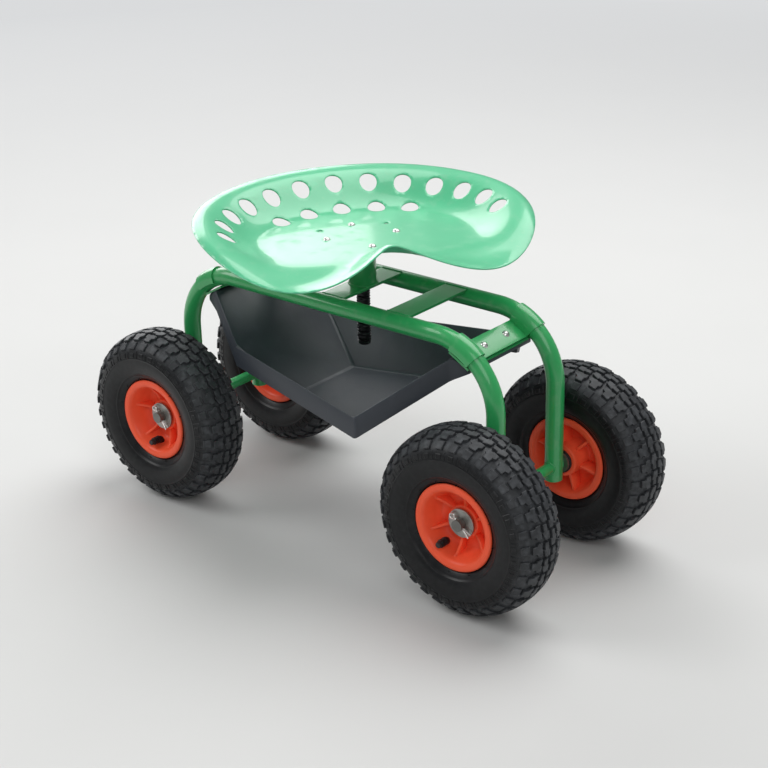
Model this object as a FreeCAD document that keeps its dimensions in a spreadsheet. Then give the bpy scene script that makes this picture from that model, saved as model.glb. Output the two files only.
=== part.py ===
import FreeCAD, Part
import math
import os
from types import SimpleNamespace

import Sketcher

# Rolling garden seat: a two-rail tube frame on four pneumatic wheels, with a pressed steel
# seat on a threaded spindle and a moulded tool tray hung between the rails.
# The origin is on the ground under the seat post, +X points to the tray's wide end and +Z up.

Vector = FreeCAD.Vector
Placement = FreeCAD.Placement
Rotation = FreeCAD.Rotation

# Driving sizes in millimetres, and angles in degrees.
SIZES = [
    ("wheelbase", 557, "front axle to rear axle"),
    ("track", 256, "middle of a left wheel to middle of a right wheel"),
    ("fit_gap", 0.05, "radial clearance of pressed and bolted pieces"),
    ("run_gap", 0.06, "radial clearance of turning pieces"),
    ("rail_diameter", 25.4, "rail tube outside"),
    ("rail_wall", 1.6, "rail tube wall"),
    ("rail_height", 346, "rail tube centre over the ground"),
    ("rail_bend_radius", 94.5, "rail bend at the tube centre"),
    ("leg_tail", 20, "leg end below the axle centre"),
    ("axle_diameter", 16, "axle rod"),
    ("bar_width", 38, "flat cross bars"),
    ("bar_thickness", 4, "flat cross bars"),
    ("bar_drop", 0.5, "cross bars' top under the top of the rails"),
    ("bar_offset", 115, "end cross bars from the seat post"),
    ("post_diameter", 38.1, "seat post tube outside"),
    ("post_wall", 2, "seat post tube wall"),
    ("post_height", 59.5, "seat post tube"),
    ("spindle_diameter", 20, "screw spindle over its thread"),
    ("spindle_tail", 87.5, "spindle end below the cross bar"),
    ("spindle_nut_height", 30, "threaded nut at the foot of the post"),
    ("post_bush_height", 14, "guide bush at the top of the post"),
    ("seat_lift_gap", 2, "seat plate over the post when screwed right down"),
    ("seat_plate_diameter", 116, "plate under the seat"),
    ("seat_plate_thickness", 5, "plate under the seat"),
    ("seat_thickness", 2.2, "pressed seat sheet"),
    ("seat_half_width", 237, "post axis to the seat's side"),
    ("seat_back", 196, "post axis to the seat's back edge"),
    ("seat_front", 198, "post axis to the front curve through the thigh lobes"),
    ("seat_notch", 70, "depth of the front notch"),
    ("seat_notch_angle", 23, "half spread of the front notch"),
    ("seat_wall_width", 100, "sloping wall between the flat middle and the edge"),
    ("seat_flat_radius", 69, "smallest flat middle of the seat"),
    ("seat_side_shift", 5, "pan off the post axis, to the seat's left"),
    ("seat_rise", 45, "back edge over the flat middle"),
    ("seat_side_drop", 6, "side edge under the back edge"),
    ("seat_lobe_fall", 7, "thigh lobe edge under the flat middle"),
    ("seat_lobe_angle", 41, "thigh lobe from the seat's forward line"),
    ("seat_lobe_spread", 34, "spread of a thigh lobe"),
    ("seat_pommel_angle", 8, "rounding of the ridge behind the notch"),
    ("seat_turn", -33, "the seat's forward line from +X"),
    ("vent_diameter", 25, "round holes of the seat"),
    ("vent_side_reach", 194, "outer row of holes, sideways half axis"),
    ("vent_back_reach", 155, "outer row of holes, backward half axis"),
    ("vent_span", 91, "outer row of holes, each side of the back"),
    ("vent_inner_side_reach", 158, "inner row of holes, sideways half axis"),
    ("vent_inner_back_reach", 115, "inner row of holes, backward half axis"),
    ("vent_inner_span", 37, "inner row of holes, each side of the back"),
    ("spare_hole_circle", 126, "two spare holes of the seat"),
    ("spare_hole_angle", 130, "spare holes from the forward line"),
    ("spare_hole_diameter", 6.6, "two spare holes of the seat"),
    ("seat_bolt_circle", 100, "four seat bolts"),
    ("bolt_diameter", 6, "seat and clamp bolts"),
    ("bolt_hole_gap", 0.3, "radial room round a bolt"),
    ("bolt_head_diameter", 11, "domed bolt head"),
    ("bolt_head_height", 3.5, "domed bolt head"),
    ("bolt_tail", 3, "bolt end past its nut"),
    ("nut_width", 10, "nut across its flats"),
    ("nut_height", 5, "nut"),
    ("washer_diameter", 12, "washer under a seat nut"),
    ("washer_thickness", 1.6, "washer under a seat nut"),
    ("clamp_angle", 30, "clamp on the bend, from the bend's top"),
    ("clamp_width", 36, "clamp along the tube"),
    ("strap_thickness", 2.5, "clamp strap"),
    ("strap_gap", 3, "clamp strap's flat over the lower side of the tube"),
    ("strap_skirt", 6, "clamp strap's outer edge below the tube centre"),
    ("clamp_plate_thickness", 3, "plate under the tubes"),
    ("clamp_bolt_spacing", 48, "two bolts of a clamp"),
    ("tray_wall", 3, "tray wall"),
    ("tray_floor_height", 187, "inside of the tray floor over the ground"),
    ("tray_floor_rear", 82, "floor's rear edge behind the post"),
    ("tray_floor_front", 49, "floor's front edge ahead of the post"),
    ("tray_floor_half_width", 68, "half width at the floor's rear edge"),
    ("tray_rim_height", 257, "side rim over the ground"),
    ("tray_rim_rear", 160, "rim's rear corner behind the post"),
    ("tray_rim_rear_half_width", 98, "half width at the rim's rear corner"),
    ("tray_rim_front", 137, "rim's front corner ahead of the post"),
    ("tray_rim_front_half_width", 184, "half width at the rim's front corner"),
    ("tray_end_inset", 10, "tray ends inward of the rails' sides"),
    ("tray_flange_inner", 10, "end flange inward of its bolts"),
    ("tray_flange_outer", 17, "end flange outward of its bolts"),
    ("tray_skirt", 27, "turned-down edge along the sides"),
    ("tray_end_skirt", 6, "turned-down edge at the ends"),
    ("wheel_radius", 130, "tyre at its crown"),
    ("tyre_crown_drop", 11, "shoulder under the crown"),
    ("tyre_shoulder", 36, "shoulder from the wheel's middle"),
    ("tyre_bulge", 10, "sidewall bulge over its chord"),
    ("tyre_carcass", 7, "tyre wall"),
    ("tyre_bead", 9, "bead width"),
    ("tyre_foot_gap", 1, "sidewall foot over the rim flange"),
    ("tread_depth", 4, "grooves between the tread blocks"),
    ("tread_groove", 2.4, "grooves that run round the tyre"),
    ("tread_middle_edge", 13.3, "groove beside the middle rows"),
    ("tread_outer_edge", 30.3, "groove beside the shoulder blocks"),
    ("tube_section", 27, "inner tube section radius"),
    ("tube_wall", 2, "inner tube wall"),
    ("tube_gap", 0.3, "inner tube to the tyre and to its valve"),
    ("rim_width", 68, "rim over its flanges"),
    ("rim_flange_diameter", 122.8, "rim flanges"),
    ("rim_flange_thickness", 4, "rim flanges"),
    ("rim_barrel_diameter", 100, "rim barrel outside"),
    ("rim_barrel_wall", 4, "rim barrel wall"),
    ("hub_diameter", 46, "rim hub"),
    ("hub_outer", 10, "hub's outboard face from the wheel's middle"),
    ("hub_inner", 41, "hub's inboard face from the wheel's middle"),
    ("web_thickness", 8, "disc between hub and barrel"),
    ("web_shift", 4, "disc inboard of the wheel's middle"),
    ("rib_count", 6, "ribs round the hub"),
    ("rib_thickness", 6, "ribs"),
    ("rib_outer", 8, "ribs' outboard edge from the wheel's middle"),
    ("rib_inner", 30, "ribs' inboard edge from the wheel's middle"),
    ("bush_diameter", 24, "axle bush outside"),
    ("bush_length", 20, "axle bush in the hub"),
    ("bush_flange_diameter", 34, "axle bush flange"),
    ("bush_flange", 2.5, "axle bush flange"),
    ("valve_diameter", 10, "bent valve stem"),
    ("valve_offset", 13, "valve's hole outboard of the wheel's middle"),
    ("valve_bend", 6.5, "valve stem's bend at its centre line"),
    ("valve_tip", 30, "valve stem's end outboard of the wheel's middle"),
    ("valve_cap_diameter", 8.5, "valve cap"),
    ("valve_cap_length", 5, "valve cap"),
    ("end_play", 0.4, "wheel's side play at each washer"),
    ("spacer_diameter", 30, "washer between leg and wheel"),
    ("spacer_length", 3.4, "washer between leg and wheel"),
    ("axle_washer_diameter", 40, "washer outside the wheel"),
    ("axle_washer_thickness", 2.5, "washer outside the wheel"),
    ("cotter_diameter", 3.2, "split pin wire pair"),
    ("cotter_offset", 4, "split pin past the washer"),
    ("cotter_length", 30, "split pin under its eye"),
    ("cotter_eye_radius", 4, "split pin eye"),
    ("cotter_eye_gap", 1, "split pin eye's foot over the axle"),
    ("axle_tail", 6, "axle end past the split pin"),
]
WHEEL_SPIN = {"front_right": 36, "front_left": 75, "rear_right": 10, "rear_left": -50}
AXLE_SPIN = {"front": -52, "rear": -42}
OUTER_VENT_COUNT = 13
INNER_VENT_COUNT = 5
BLOCK_COUNT = 34
MIDDLE_GAP_SHARE = 0.2
SHOULDER_GAP_SHARE = 0.44
RUN_OUT_SHARE = 0.6
OUTLINE_POWER = 2.1
WALL_POWER = 1.7
LIP_WEIGHT = 0.9
SURFACE_STEPS = 48
OUTLINE_STEPS = 72
ALONG_Y = Rotation(Vector(1, 0, 0), -90)


class Size:
    """A size with its number and its expression, so that sums of sizes stay bound to the sheet."""

    def __init__(self, value, text):
        self.value = float(value)
        self.text = text

    def __float__(self):
        return self.value

    def __add__(self, other):
        other = as_size(other)
        return Size(self.value + other.value, f"({self.text} + {other.text})")

    def __sub__(self, other):
        other = as_size(other)
        return Size(self.value - other.value, f"({self.text} - {other.text})")

    def __mul__(self, other):
        other = as_size(other)
        return Size(self.value * other.value, f"({self.text} * {other.text})")

    def __truediv__(self, other):
        other = as_size(other)
        return Size(self.value / other.value, f"({self.text} / {other.text})")

    def __neg__(self):
        return Size(-self.value, f"(0 - {self.text})")

    def root(self):
        return Size(math.sqrt(self.value), f"sqrt({self.text})")

    __radd__ = __add__
    __rmul__ = __mul__


def as_size(item):
    return item if isinstance(item, Size) else Size(item, f"{float(item)}")


doc = FreeCAD.newDocument("RollingGardenSeat")
sheet = doc.addObject("Spreadsheet::Sheet", "Sizes")
for row, (alias, number, note) in enumerate(SIZES, start=1):
    sheet.set(f"A{row}", note)
    sheet.set(f"B{row}", str(number))
    sheet.setAlias(f"B{row}", alias)
doc.recompute()
d = SimpleNamespace(**{alias: Size(sheet.get(alias), f"Sizes.{alias}") for alias, number, note in SIZES})

# Sizes that several pieces share.
rail_radius = d.rail_diameter / 2
axle_radius = d.axle_diameter / 2
axle_x = d.wheelbase / 2
axle_z = d.wheel_radius
bend_x = axle_x - d.rail_bend_radius
bend_z = d.rail_height - d.rail_bend_radius
bar_top = d.rail_height + rail_radius - d.bar_drop
bar_bottom = bar_top - d.bar_thickness
post_top = bar_top + d.post_height
plate_bottom = post_top + d.seat_lift_gap
plate_top = plate_bottom + d.seat_plate_thickness
seat_base = plate_top + d.seat_thickness
bolt_hole_radius = d.bolt_diameter / 2 + d.bolt_hole_gap
washer_start = d.hub_outer + d.bush_flange + d.end_play
spacer_start = d.track / 2 - d.hub_inner - d.bush_flange - d.end_play
rail_side = spacer_start - d.spacer_length - rail_radius
cotter_reach = washer_start + d.axle_washer_thickness + d.cotter_offset
axle_half = d.track / 2 + cotter_reach + d.axle_tail
cotter_hole_radius = d.cotter_diameter / 2 + d.fit_gap
barrel_outer = d.rim_barrel_diameter / 2
barrel_inner = barrel_outer - d.rim_barrel_wall
flange_radius = d.rim_flange_diameter / 2
nodes = []


def keep(item, label):
    """Name a finished sub-part, which also names its file."""
    item.Label = label
    nodes.append(item)
    return item


def new_body(label):
    return keep(doc.addObject("PartDesign::Body", label), label)


def place(item, x=0, y=0, z=0, turn=None):
    """Set a sub-part's place, with each coordinate bound to the sheet."""
    spot = [as_size(value) for value in (x, y, z)]
    item.Placement = Placement(Vector(*[float(value) for value in spot]), turn or Rotation())
    for axis, value in zip("xyz", spot):
        if "Sizes" in value.text:
            item.setExpression(f"Placement.Base.{axis}", value.text)
    return item


def sketch_on(body, name, role, lift=0):
    """A sketch on one of the body's own origin planes, lifted off it by a size."""
    plane = next(item for item in body.Origin.OriginFeatures if item.Role == role)
    sketch = body.newObject("Sketcher::SketchObject", name)
    sketch.AttachmentSupport = [(plane, "")]
    sketch.MapMode = "FlatFace"
    if isinstance(lift, Size):
        sketch.setExpression("AttachmentOffset.Base.z", lift.text)
    return sketch


def bind(sketch, kind, where, size):
    size = as_size(size)
    number = sketch.addConstraint(Sketcher.Constraint(kind, *where, float(size)))
    if "Sizes" in size.text:
        sketch.setExpression(f"Constraints[{number}]", size.text)


def arc_between(start, finish, radius, turn):
    """The short arc between two points, with whether its ends are swapped."""
    chord = finish - start
    rise = math.sqrt(max(radius ** 2 - chord.Length ** 2 / 4, 0))
    left = Vector(-chord.y, chord.x, 0) / chord.Length
    centre = (start + finish) / 2 + left * rise * turn
    angles = [math.atan2(point.y - centre.y, point.x - centre.x) for point in (start, finish)]
    if turn < 0:
        angles.reverse()
    circle = Part.Circle(centre, Vector(0, 0, 1), radius)
    return Part.ArcOfCircle(circle, angles[0], angles[1]), turn < 0


def draw_path(sketch, corners, arcs=None, closed=True):
    """Lines through corners of (x, y); arcs gives a segment's (radius, turn), turn 1 to the left."""
    arcs = arcs or {}
    points = [Vector(float(x), float(y), 0) for x, y in corners]
    count = len(points) if closed else len(points) - 1
    ends = []
    for index in range(count):
        start, finish = points[index], points[(index + 1) % len(points)]
        swapped = False
        curve = Part.LineSegment(start, finish)
        if index in arcs:
            curve, swapped = arc_between(start, finish, float(arcs[index][0]), arcs[index][1])
        number = sketch.addGeometry(curve)
        ends.append((number, 2 if swapped else 1, 1 if swapped else 2))
    for index, (number, first, last) in enumerate(ends):
        if closed or index + 1 < count:
            following = ends[(index + 1) % count]
            sketch.addConstraint(Sketcher.Constraint("Coincident", number, last, *following[:2]))
        bind(sketch, "DistanceX", (-1, 1, number, first), corners[index][0])
        bind(sketch, "DistanceY", (-1, 1, number, first), corners[index][1])
        if index in arcs:
            bind(sketch, "Radius", (number,), arcs[index][0])
    if not closed:
        number, first, last = ends[-1]
        bind(sketch, "DistanceX", (-1, 1, number, last), corners[-1][0])
        bind(sketch, "DistanceY", (-1, 1, number, last), corners[-1][1])
    return sketch


def draw_circle(sketch, x, y, radius):
    circle = Part.Circle(Vector(float(x), float(y), 0), Vector(0, 0, 1), float(radius))
    number = sketch.addGeometry(circle)
    bind(sketch, "DistanceX", (-1, 1, number, 3), x)
    bind(sketch, "DistanceY", (-1, 1, number, 3), y)
    bind(sketch, "Radius", (number,), radius)


def add_feature(body, kind, sketch, name, **settings):
    feature = body.newObject(f"PartDesign::{kind}", name)
    feature.Profile = sketch
    for key, value in settings.items():
        if isinstance(value, Size):
            feature.setExpression(key, value.text)
        else:
            setattr(feature, key, value)
    body.Tip = feature
    return feature


def turn_section(body, corners, arcs=None, **settings):
    """Turn a half section of (radius, height) corners about the body's Z axis."""
    sketch = draw_path(sketch_on(body, f"{body.Label}_section", "XZ_Plane"), corners, arcs)
    settings.setdefault("Angle", 360)
    return add_feature(body, "Revolution", sketch, f"{body.Label}_turn",
                       ReferenceAxis=(sketch, ["V_Axis"]), **settings)


def ring(label, inner, outer, bottom, top):
    """A plain turned ring, sleeve or rod."""
    body = new_body(label)
    turn_section(body, [(inner, bottom), (outer, bottom), (outer, top), (inner, top)])
    return body


def drill(body, role, circles, lift=0, **settings):
    """Cut round holes through the body, square to one of its origin planes."""
    sketch = sketch_on(body, f"{body.Label}_hole_plan", role, lift)
    for circle in circles:
        draw_circle(sketch, *circle)
    settings = settings or {"Type": "ThroughAll", "SideType": "Symmetric"}
    doc.recompute()
    before = body.Shape.Volume
    hole = add_feature(body, "Pocket", sketch, f"{body.Label}_holes", **settings)
    doc.recompute()
    if body.Shape.Volume >= before:
        raise RuntimeError(f"{body.Label}: the holes cut nothing")
    return hole


def group(label, source, placements):
    """Copies of one piece, as separate solids of one sub-part."""
    doc.recompute()
    shapes = []
    for placement in placements:
        shape = source.Shape.copy()
        shape.Placement = placement.multiply(shape.Placement)
        shapes.append(shape)
    feature = doc.addObject("Part::Feature", label)
    feature.Shape = Part.makeCompound(shapes)
    return keep(feature, label)


def pattern_source(item):
    """A piece that is only copied, so it isn't written by itself."""
    nodes.remove(item)
    return item


def make_rail(label, side):
    body = new_body(label)
    leg_end = axle_z - d.leg_tail
    spine = sketch_on(body, f"{label}_path", "XZ_Plane")
    corners = [(-axle_x, leg_end), (-axle_x, bend_z), (-bend_x, d.rail_height),
               (bend_x, d.rail_height), (axle_x, bend_z), (axle_x, leg_end)]
    bend = (d.rail_bend_radius, -1)
    draw_path(spine, corners, {1: bend, 3: bend}, closed=False)
    section = sketch_on(body, f"{label}_tube", "XY_Plane", leg_end)
    draw_circle(section, -axle_x, 0, rail_radius)
    draw_circle(section, -axle_x, 0, rail_radius - d.rail_wall)
    add_feature(body, "AdditivePipe", section, f"{label}_bend", Spine=(spine, []))
    drill(body, "XZ_Plane", [(sign * axle_x, axle_z, axle_radius + d.fit_gap) for sign in (-1, 1)])
    place(body, y=side * rail_side)


def make_axle(label, end):
    body = ring(label, 0, axle_radius, -axle_half, axle_half)
    reach = d.track / 2 + cotter_reach
    drill(body, "XZ_Plane", [(0, sign * reach, cotter_hole_radius) for sign in (-1, 1)])
    place(body, end * axle_x, 0, axle_z, axle_turn(end).multiply(ALONG_Y))


def axle_turn(end):
    """Turn of an axle, which sets the way that its split pins point."""
    return Rotation(Vector(0, 1, 0), AXLE_SPIN["front" if end > 0 else "rear"])


def make_cross_bar(label, x, hole_radius=None):
    """Flat bar between the rails, with its ends cut to the round of the tubes."""
    body = new_body(label)
    hug = rail_radius + d.fit_gap
    corners = []
    for height in (bar_bottom, bar_top):
        rise = height - d.rail_height
        reach = rail_side - (hug * hug - rise * rise).root()
        corners.append([(-reach, height), (reach, height)])
    section = sketch_on(body, f"{label}_section", "YZ_Plane")
    draw_path(section, corners[0] + corners[1][::-1], {1: (hug, -1), 3: (hug, -1)})
    add_feature(body, "Pad", section, f"{label}_flat", Length=d.bar_width, SideType="Symmetric")
    if hole_radius is not None:
        drill(body, "XY_Plane", [(0, 0, hole_radius)])
    place(body, x)


def make_post():
    post_inner = d.post_diameter / 2 - d.post_wall
    spindle_radius = d.spindle_diameter / 2
    fitted = post_inner - d.fit_gap
    running = spindle_radius + d.run_gap
    ring("post_tube", post_inner, d.post_diameter / 2, bar_top, post_top)
    ring("spindle_nut", running, fitted, bar_top, bar_top + d.spindle_nut_height)
    ring("post_bush", running, fitted, post_top - d.post_bush_height, post_top)
    ring("seat_spindle", 0, spindle_radius, bar_bottom - d.spindle_tail, plate_bottom)
    make_cross_bar("seat_cross_bar", 0, running + d.bolt_hole_gap)


def clamp_turn(end):
    """Axes of an end clamp: X along the tube, Y across the frame, Z out of the bend."""
    tilt = Rotation(Vector(0, 1, 0), float(d.clamp_angle))
    return tilt if end > 0 else Rotation(Vector(0, 0, 1), 180).multiply(tilt)


def clamp_point(end, along, across, out):
    """A point by its clamp axes, measured from the middle of the rail's bend."""
    middle = Vector(end * float(bend_x), 0, float(bend_z))
    return middle + clamp_turn(end).multVec(Vector(float(along), float(across), float(out)))


def make_clamp(name, end):
    """Formed strap over both tubes, and the flat plate under them."""
    centre = d.rail_bend_radius
    near = rail_side - rail_radius - d.fit_gap
    far = rail_side + rail_radius + d.fit_gap
    inside = rail_radius + d.fit_gap
    outside = inside + d.strap_thickness
    low = centre - rail_radius + d.strap_gap
    high = low + d.strap_thickness
    edge = centre - d.strap_skirt
    thick = d.strap_thickness
    under = [(edge, far + thick), (edge, far), (centre, far), (centre + inside, rail_side),
             (centre, near), (low, near)]
    over = [(high, near - thick), (centre, near - thick), (centre + outside, rail_side),
            (centre, far + thick)]
    loop = [(x, -y) for x, y in under] + under[::-1] + over[::-1] + [(x, -y) for x, y in over]
    arcs = {2: (inside, 1), 3: (inside, 1), 7: (inside, 1), 8: (inside, 1)}
    arcs.update({12: (outside, -1), 13: (outside, -1), 17: (outside, -1), 18: (outside, -1)})
    strap = new_body(f"{name}_clamp_strap")
    wrap = d.clamp_width / centre * (180 / math.pi)
    turn_section(strap, loop, arcs, Angle=wrap, Midplane=True)
    bolts = [(0, sign * d.clamp_bolt_spacing / 2, bolt_hole_radius) for sign in (-1, 1)]
    drill(strap, "YZ_Plane", [(0, y, radius) for x, y, radius in bolts])
    upright = Rotation(Vector(1, 0, 0), Vector(0, 0, -1), Vector(0, 1, 0), "ZXY")
    laid = Rotation(Vector(0, 1, 0), -90).multiply(upright)
    place(strap, end * bend_x, 0, bend_z, clamp_turn(end).multiply(laid))

    plate = new_body(f"{name}_clamp_plate")
    half = d.clamp_width / 2
    reach = rail_side + rail_radius / 2
    plan = sketch_on(plate, f"{name}_clamp_plate_plan", "XY_Plane")
    draw_path(plan, [(-half, -reach), (half, -reach), (half, reach), (-half, reach)])
    for hole in bolts:
        draw_circle(plan, *hole)
    add_feature(plate, "Pad", plan, f"{name}_clamp_plate_flat", Length=d.clamp_plate_thickness)
    plate.Placement = Placement(clamp_point(end, 0, 0, flange_seat), clamp_turn(end))


# The plate's edges touch the inner side of the bend, so its top lies a little further in.
inner_bend = d.rail_bend_radius - rail_radius
clamp_seat = (inner_bend * inner_bend - d.clamp_width * d.clamp_width / 4).root()
flange_seat = clamp_seat - d.clamp_plate_thickness


def make_bolt(label, grip):
    """Domed bolt about Z, head upwards, with the underside of its head at the origin."""
    shank = d.bolt_diameter / 2
    head = d.bolt_head_diameter / 2
    dome = (head * head + d.bolt_head_height * d.bolt_head_height) / (2 * d.bolt_head_height)
    tip = -grip - d.nut_height - d.bolt_tail
    body = new_body(label)
    corners = [(0, tip), (shank, tip), (shank, 0), (head, 0), (0, d.bolt_head_height)]
    turn_section(body, corners, {3: (dome, 1)})
    return pattern_source(body)


def make_nut(label):
    """Hexagon nut about Z, standing on the origin."""
    prism = doc.addObject("Part::Prism", f"{label}_hexagon")
    prism.Polygon = 6
    prism.setExpression("Circumradius", f"{d.nut_width.text} / sqrt(3)")
    prism.setExpression("Height", d.nut_height.text)
    bore = doc.addObject("Part::Cylinder", f"{label}_bore")
    bore.setExpression("Radius", (d.bolt_diameter / 2 + d.fit_gap).text)
    bore.setExpression("Height", d.nut_height.text)
    nut = doc.addObject("Part::Cut", label)
    nut.Base = prism
    nut.Tool = bore
    return nut


def make_clamp_fasteners():
    head_seat = inner_bend + d.strap_gap + d.strap_thickness
    grip = head_seat - flange_seat + d.tray_wall
    bolt = make_bolt("clamp_bolt", grip)
    nut = make_nut("clamp_nut")
    nut_foot = head_seat - grip - d.nut_height
    for label, source, out in (("clamp_bolts", bolt, head_seat), ("clamp_nuts", nut, nut_foot)):
        spots = []
        for end in (-1, 1):
            for sign in (-1, 1):
                spot = clamp_point(end, 0, sign * d.clamp_bolt_spacing / 2, out)
                spots.append(Placement(spot, clamp_turn(end)))
        group(label, source, spots)


def offset_path(points, distance, closed=False):
    """Move a chain of plane points to its right by a distance, with mitred corners."""
    count = len(points)
    moved = []
    for index, (x, y) in enumerate(points):
        normals = []
        for first, second in ((index - 1, index), (index, index + 1)):
            if not closed and (first < 0 or second >= count):
                continue
            ax, ay = points[first % count]
            bx, by = points[second % count]
            length = math.hypot(bx - ax, by - ay)
            normals.append(((by - ay) / length, (ax - bx) / length))
        nx = sum(normal[0] for normal in normals) / len(normals)
        ny = sum(normal[1] for normal in normals) / len(normals)
        scale = distance / (nx * nx + ny * ny)
        moved.append((x + nx * scale, y + ny * scale))
    return moved


def flat_face(points):
    return Part.Face(Part.makePolygon(points + points[:1]))


def bent_quad(a, b, c, e):
    """Two triangles over four corners that needn't lie in one plane."""
    return [flat_face([a, b, c]), flat_face([a, c, e])]


def closed_solid(faces):
    shell = Part.makeShell(faces)
    shell.sewShape()
    solid = Part.makeSolid(Part.Shell(shell.Faces))
    if solid.Volume < 0:
        solid.reverse()
    return solid


def station_corner(station, side):
    """One side's corner of a tray section given as (x, z, half width)."""
    return Vector(station[0], side * station[2], station[1])


def tray_walls(stations, wall):
    """Tray shell from its long section: stations of (x, z, half width), from the rear end forward."""
    rear_rim, rear_floor, front_floor, front_rim = stations[2:6]
    taper = (front_rim[2] - rear_rim[2]) / (front_rim[0] - rear_rim[0])
    rise = front_rim[1] - rear_floor[1]
    flare = (rear_rim[2] + taper * (rear_floor[0] - rear_rim[0]) - rear_floor[2]) / rise
    thicker = wall * math.sqrt(1 + taper ** 2 + flare ** 2)
    below = offset_path([(x, z) for x, z, half in stations], wall)
    outer = []
    for index, (x, z) in enumerate(below):
        half = stations[index][2]
        if 2 <= index <= 5:
            half = rear_floor[2] + taper * (x - rear_floor[0]) + flare * (z - rear_floor[1]) + thicker
        outer.append((x, z, half))
    faces = []
    for skin in (stations, outer):
        for rear, front in zip(skin, skin[1:]):
            faces.append(flat_face([station_corner(rear, -1), station_corner(front, -1),
                                    station_corner(front, 1), station_corner(rear, 1)]))
        for side in (-1, 1):
            faces.append(flat_face([station_corner(station, side) for station in skin[2:6]]))
    for index in (0, -1):
        upper, lower = stations[index], outer[index]
        faces.append(flat_face([station_corner(upper, -1), station_corner(upper, 1),
                                station_corner(lower, 1), station_corner(lower, -1)]))
    for side in (-1, 1):
        for first, second in ((0, 1), (1, 2), (2, 5), (5, 6), (6, 7)):
            quad = (stations[first], stations[second], outer[second], outer[first])
            faces += bent_quad(*[station_corner(station, side) for station in quad])
    return closed_solid(faces)


def tray_edge(stations, wall, depth, end_depth):
    """Turned-down band that follows the rim all round, shallow at the two ends."""
    rim = stations[:3] + stations[5:]
    drops = [end_depth] + [depth] * (len(rim) - 2) + [end_depth]
    drops += drops[::-1]
    loop = [(x, -half, z) for x, z, half in rim] + [(x, half, z) for x, z, half in rim[::-1]]
    plan = [(x, y) for x, y, z in loop]
    inner = offset_path(plan, -wall / 2, closed=True)
    outer = offset_path(plan, wall / 2, closed=True)
    count = len(loop)
    faces = []
    for index in range(count):
        after = (index + 1) % count
        tops = (loop[index][2], loop[after][2])
        lows = (tops[0] - drops[index], tops[1] - drops[after])
        corners = []
        for path in (inner, outer):
            for heights in (tops, lows):
                corners.append([Vector(*path[spot], z) for spot, z in zip((index, after), heights)])
        inner_top, inner_low, outer_top, outer_low = corners
        faces.append(flat_face([inner_top[0], inner_top[1], inner_low[1], inner_low[0]]))
        faces.append(flat_face([outer_top[0], outer_top[1], outer_low[1], outer_low[0]]))
        faces += bent_quad(inner_top[0], inner_top[1], outer_top[1], outer_top[0])
        faces += bent_quad(inner_low[0], inner_low[1], outer_low[1], outer_low[0])
    return closed_solid(faces)


def make_tray():
    """Moulded tray with a turned-down edge, and flat seats for the clamp plates."""
    wall = float(d.tray_wall)
    widening = d.tray_rim_front_half_width - d.tray_rim_rear_half_width
    taper = widening / (d.tray_rim_front + d.tray_rim_rear)
    floor_front_half = d.tray_floor_half_width + taper * (d.tray_floor_front + d.tray_floor_rear)
    flange = (d.tray_flange_outer, -d.tray_flange_inner)
    ends = {}
    for end in (-1, 1):
        ends[end] = [clamp_point(end, along, 0, flange_seat) for along in flange]
    end_half = float(rail_side + rail_radius - d.tray_end_inset)
    stations = [(point.x, point.z, end_half) for point in ends[-1]]
    stations.append((-float(d.tray_rim_rear), float(d.tray_rim_height), float(d.tray_rim_rear_half_width)))
    stations.append((-float(d.tray_floor_rear), float(d.tray_floor_height), float(d.tray_floor_half_width)))
    stations.append((float(d.tray_floor_front), float(d.tray_floor_height), float(floor_front_half)))
    stations.append((float(d.tray_rim_front), float(d.tray_rim_height), float(d.tray_rim_front_half_width)))
    stations += [(point.x, point.z, end_half) for point in ends[1][::-1]]
    edge = tray_edge(stations, wall, float(d.tray_skirt), float(d.tray_end_skirt))
    shape = tray_walls(stations, wall).fuse(edge)
    punch_start = flange_seat - 2 * d.tray_wall
    punch_length = 3 * wall
    seat_reach = rail_side + rail_radius
    for end in (-1, 1):
        seat = Part.makeBox(float(d.clamp_width), float(2 * seat_reach), float(d.clamp_plate_thickness))
        corner = clamp_point(end, -d.clamp_width / 2, -seat_reach, flange_seat)
        seat.Placement = Placement(corner, clamp_turn(end))
        shape = shape.cut(seat)
        for sign in (-1, 1):
            start = clamp_point(end, 0, sign * d.clamp_bolt_spacing / 2, punch_start)
            axis = clamp_turn(end).multVec(Vector(0, 0, 1))
            shape = shape.cut(Part.makeCylinder(float(bolt_hole_radius), punch_length, start, axis))
    tray = doc.addObject("Part::Feature", "tool_tray")
    tray.Shape = shape.removeSplitter()
    keep(tray, "tool_tray")


def seat_edge(angle):
    """Distance from the post axis to the seat's edge, by the angle in degrees from its forward line."""
    ahead = math.cos(math.radians(angle))
    aside = math.sin(math.radians(angle))
    reach = float(d.seat_front if ahead > 0 else d.seat_back)
    half = float(d.seat_half_width)
    powers = abs(ahead / reach) ** OUTLINE_POWER + abs(aside / half) ** OUTLINE_POWER
    notch = float(d.seat_notch) * math.exp(-(angle / float(d.seat_notch_angle)) ** 2)
    return powers ** (-1 / OUTLINE_POWER) - notch


def seat_rim_height(angle):
    """Height of the seat's edge over its flat middle: high behind, low at the two thigh lobes."""
    aside = math.hypot(angle, float(d.seat_pommel_angle))
    from_lobe = (aside - float(d.seat_lobe_angle)) / float(d.seat_lobe_spread)
    back = float(d.seat_rise) - float(d.seat_side_drop) * math.sin(math.radians(angle)) ** 2
    return back - float(d.seat_rise + d.seat_lobe_fall) * math.exp(-from_lobe ** 2)


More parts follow.
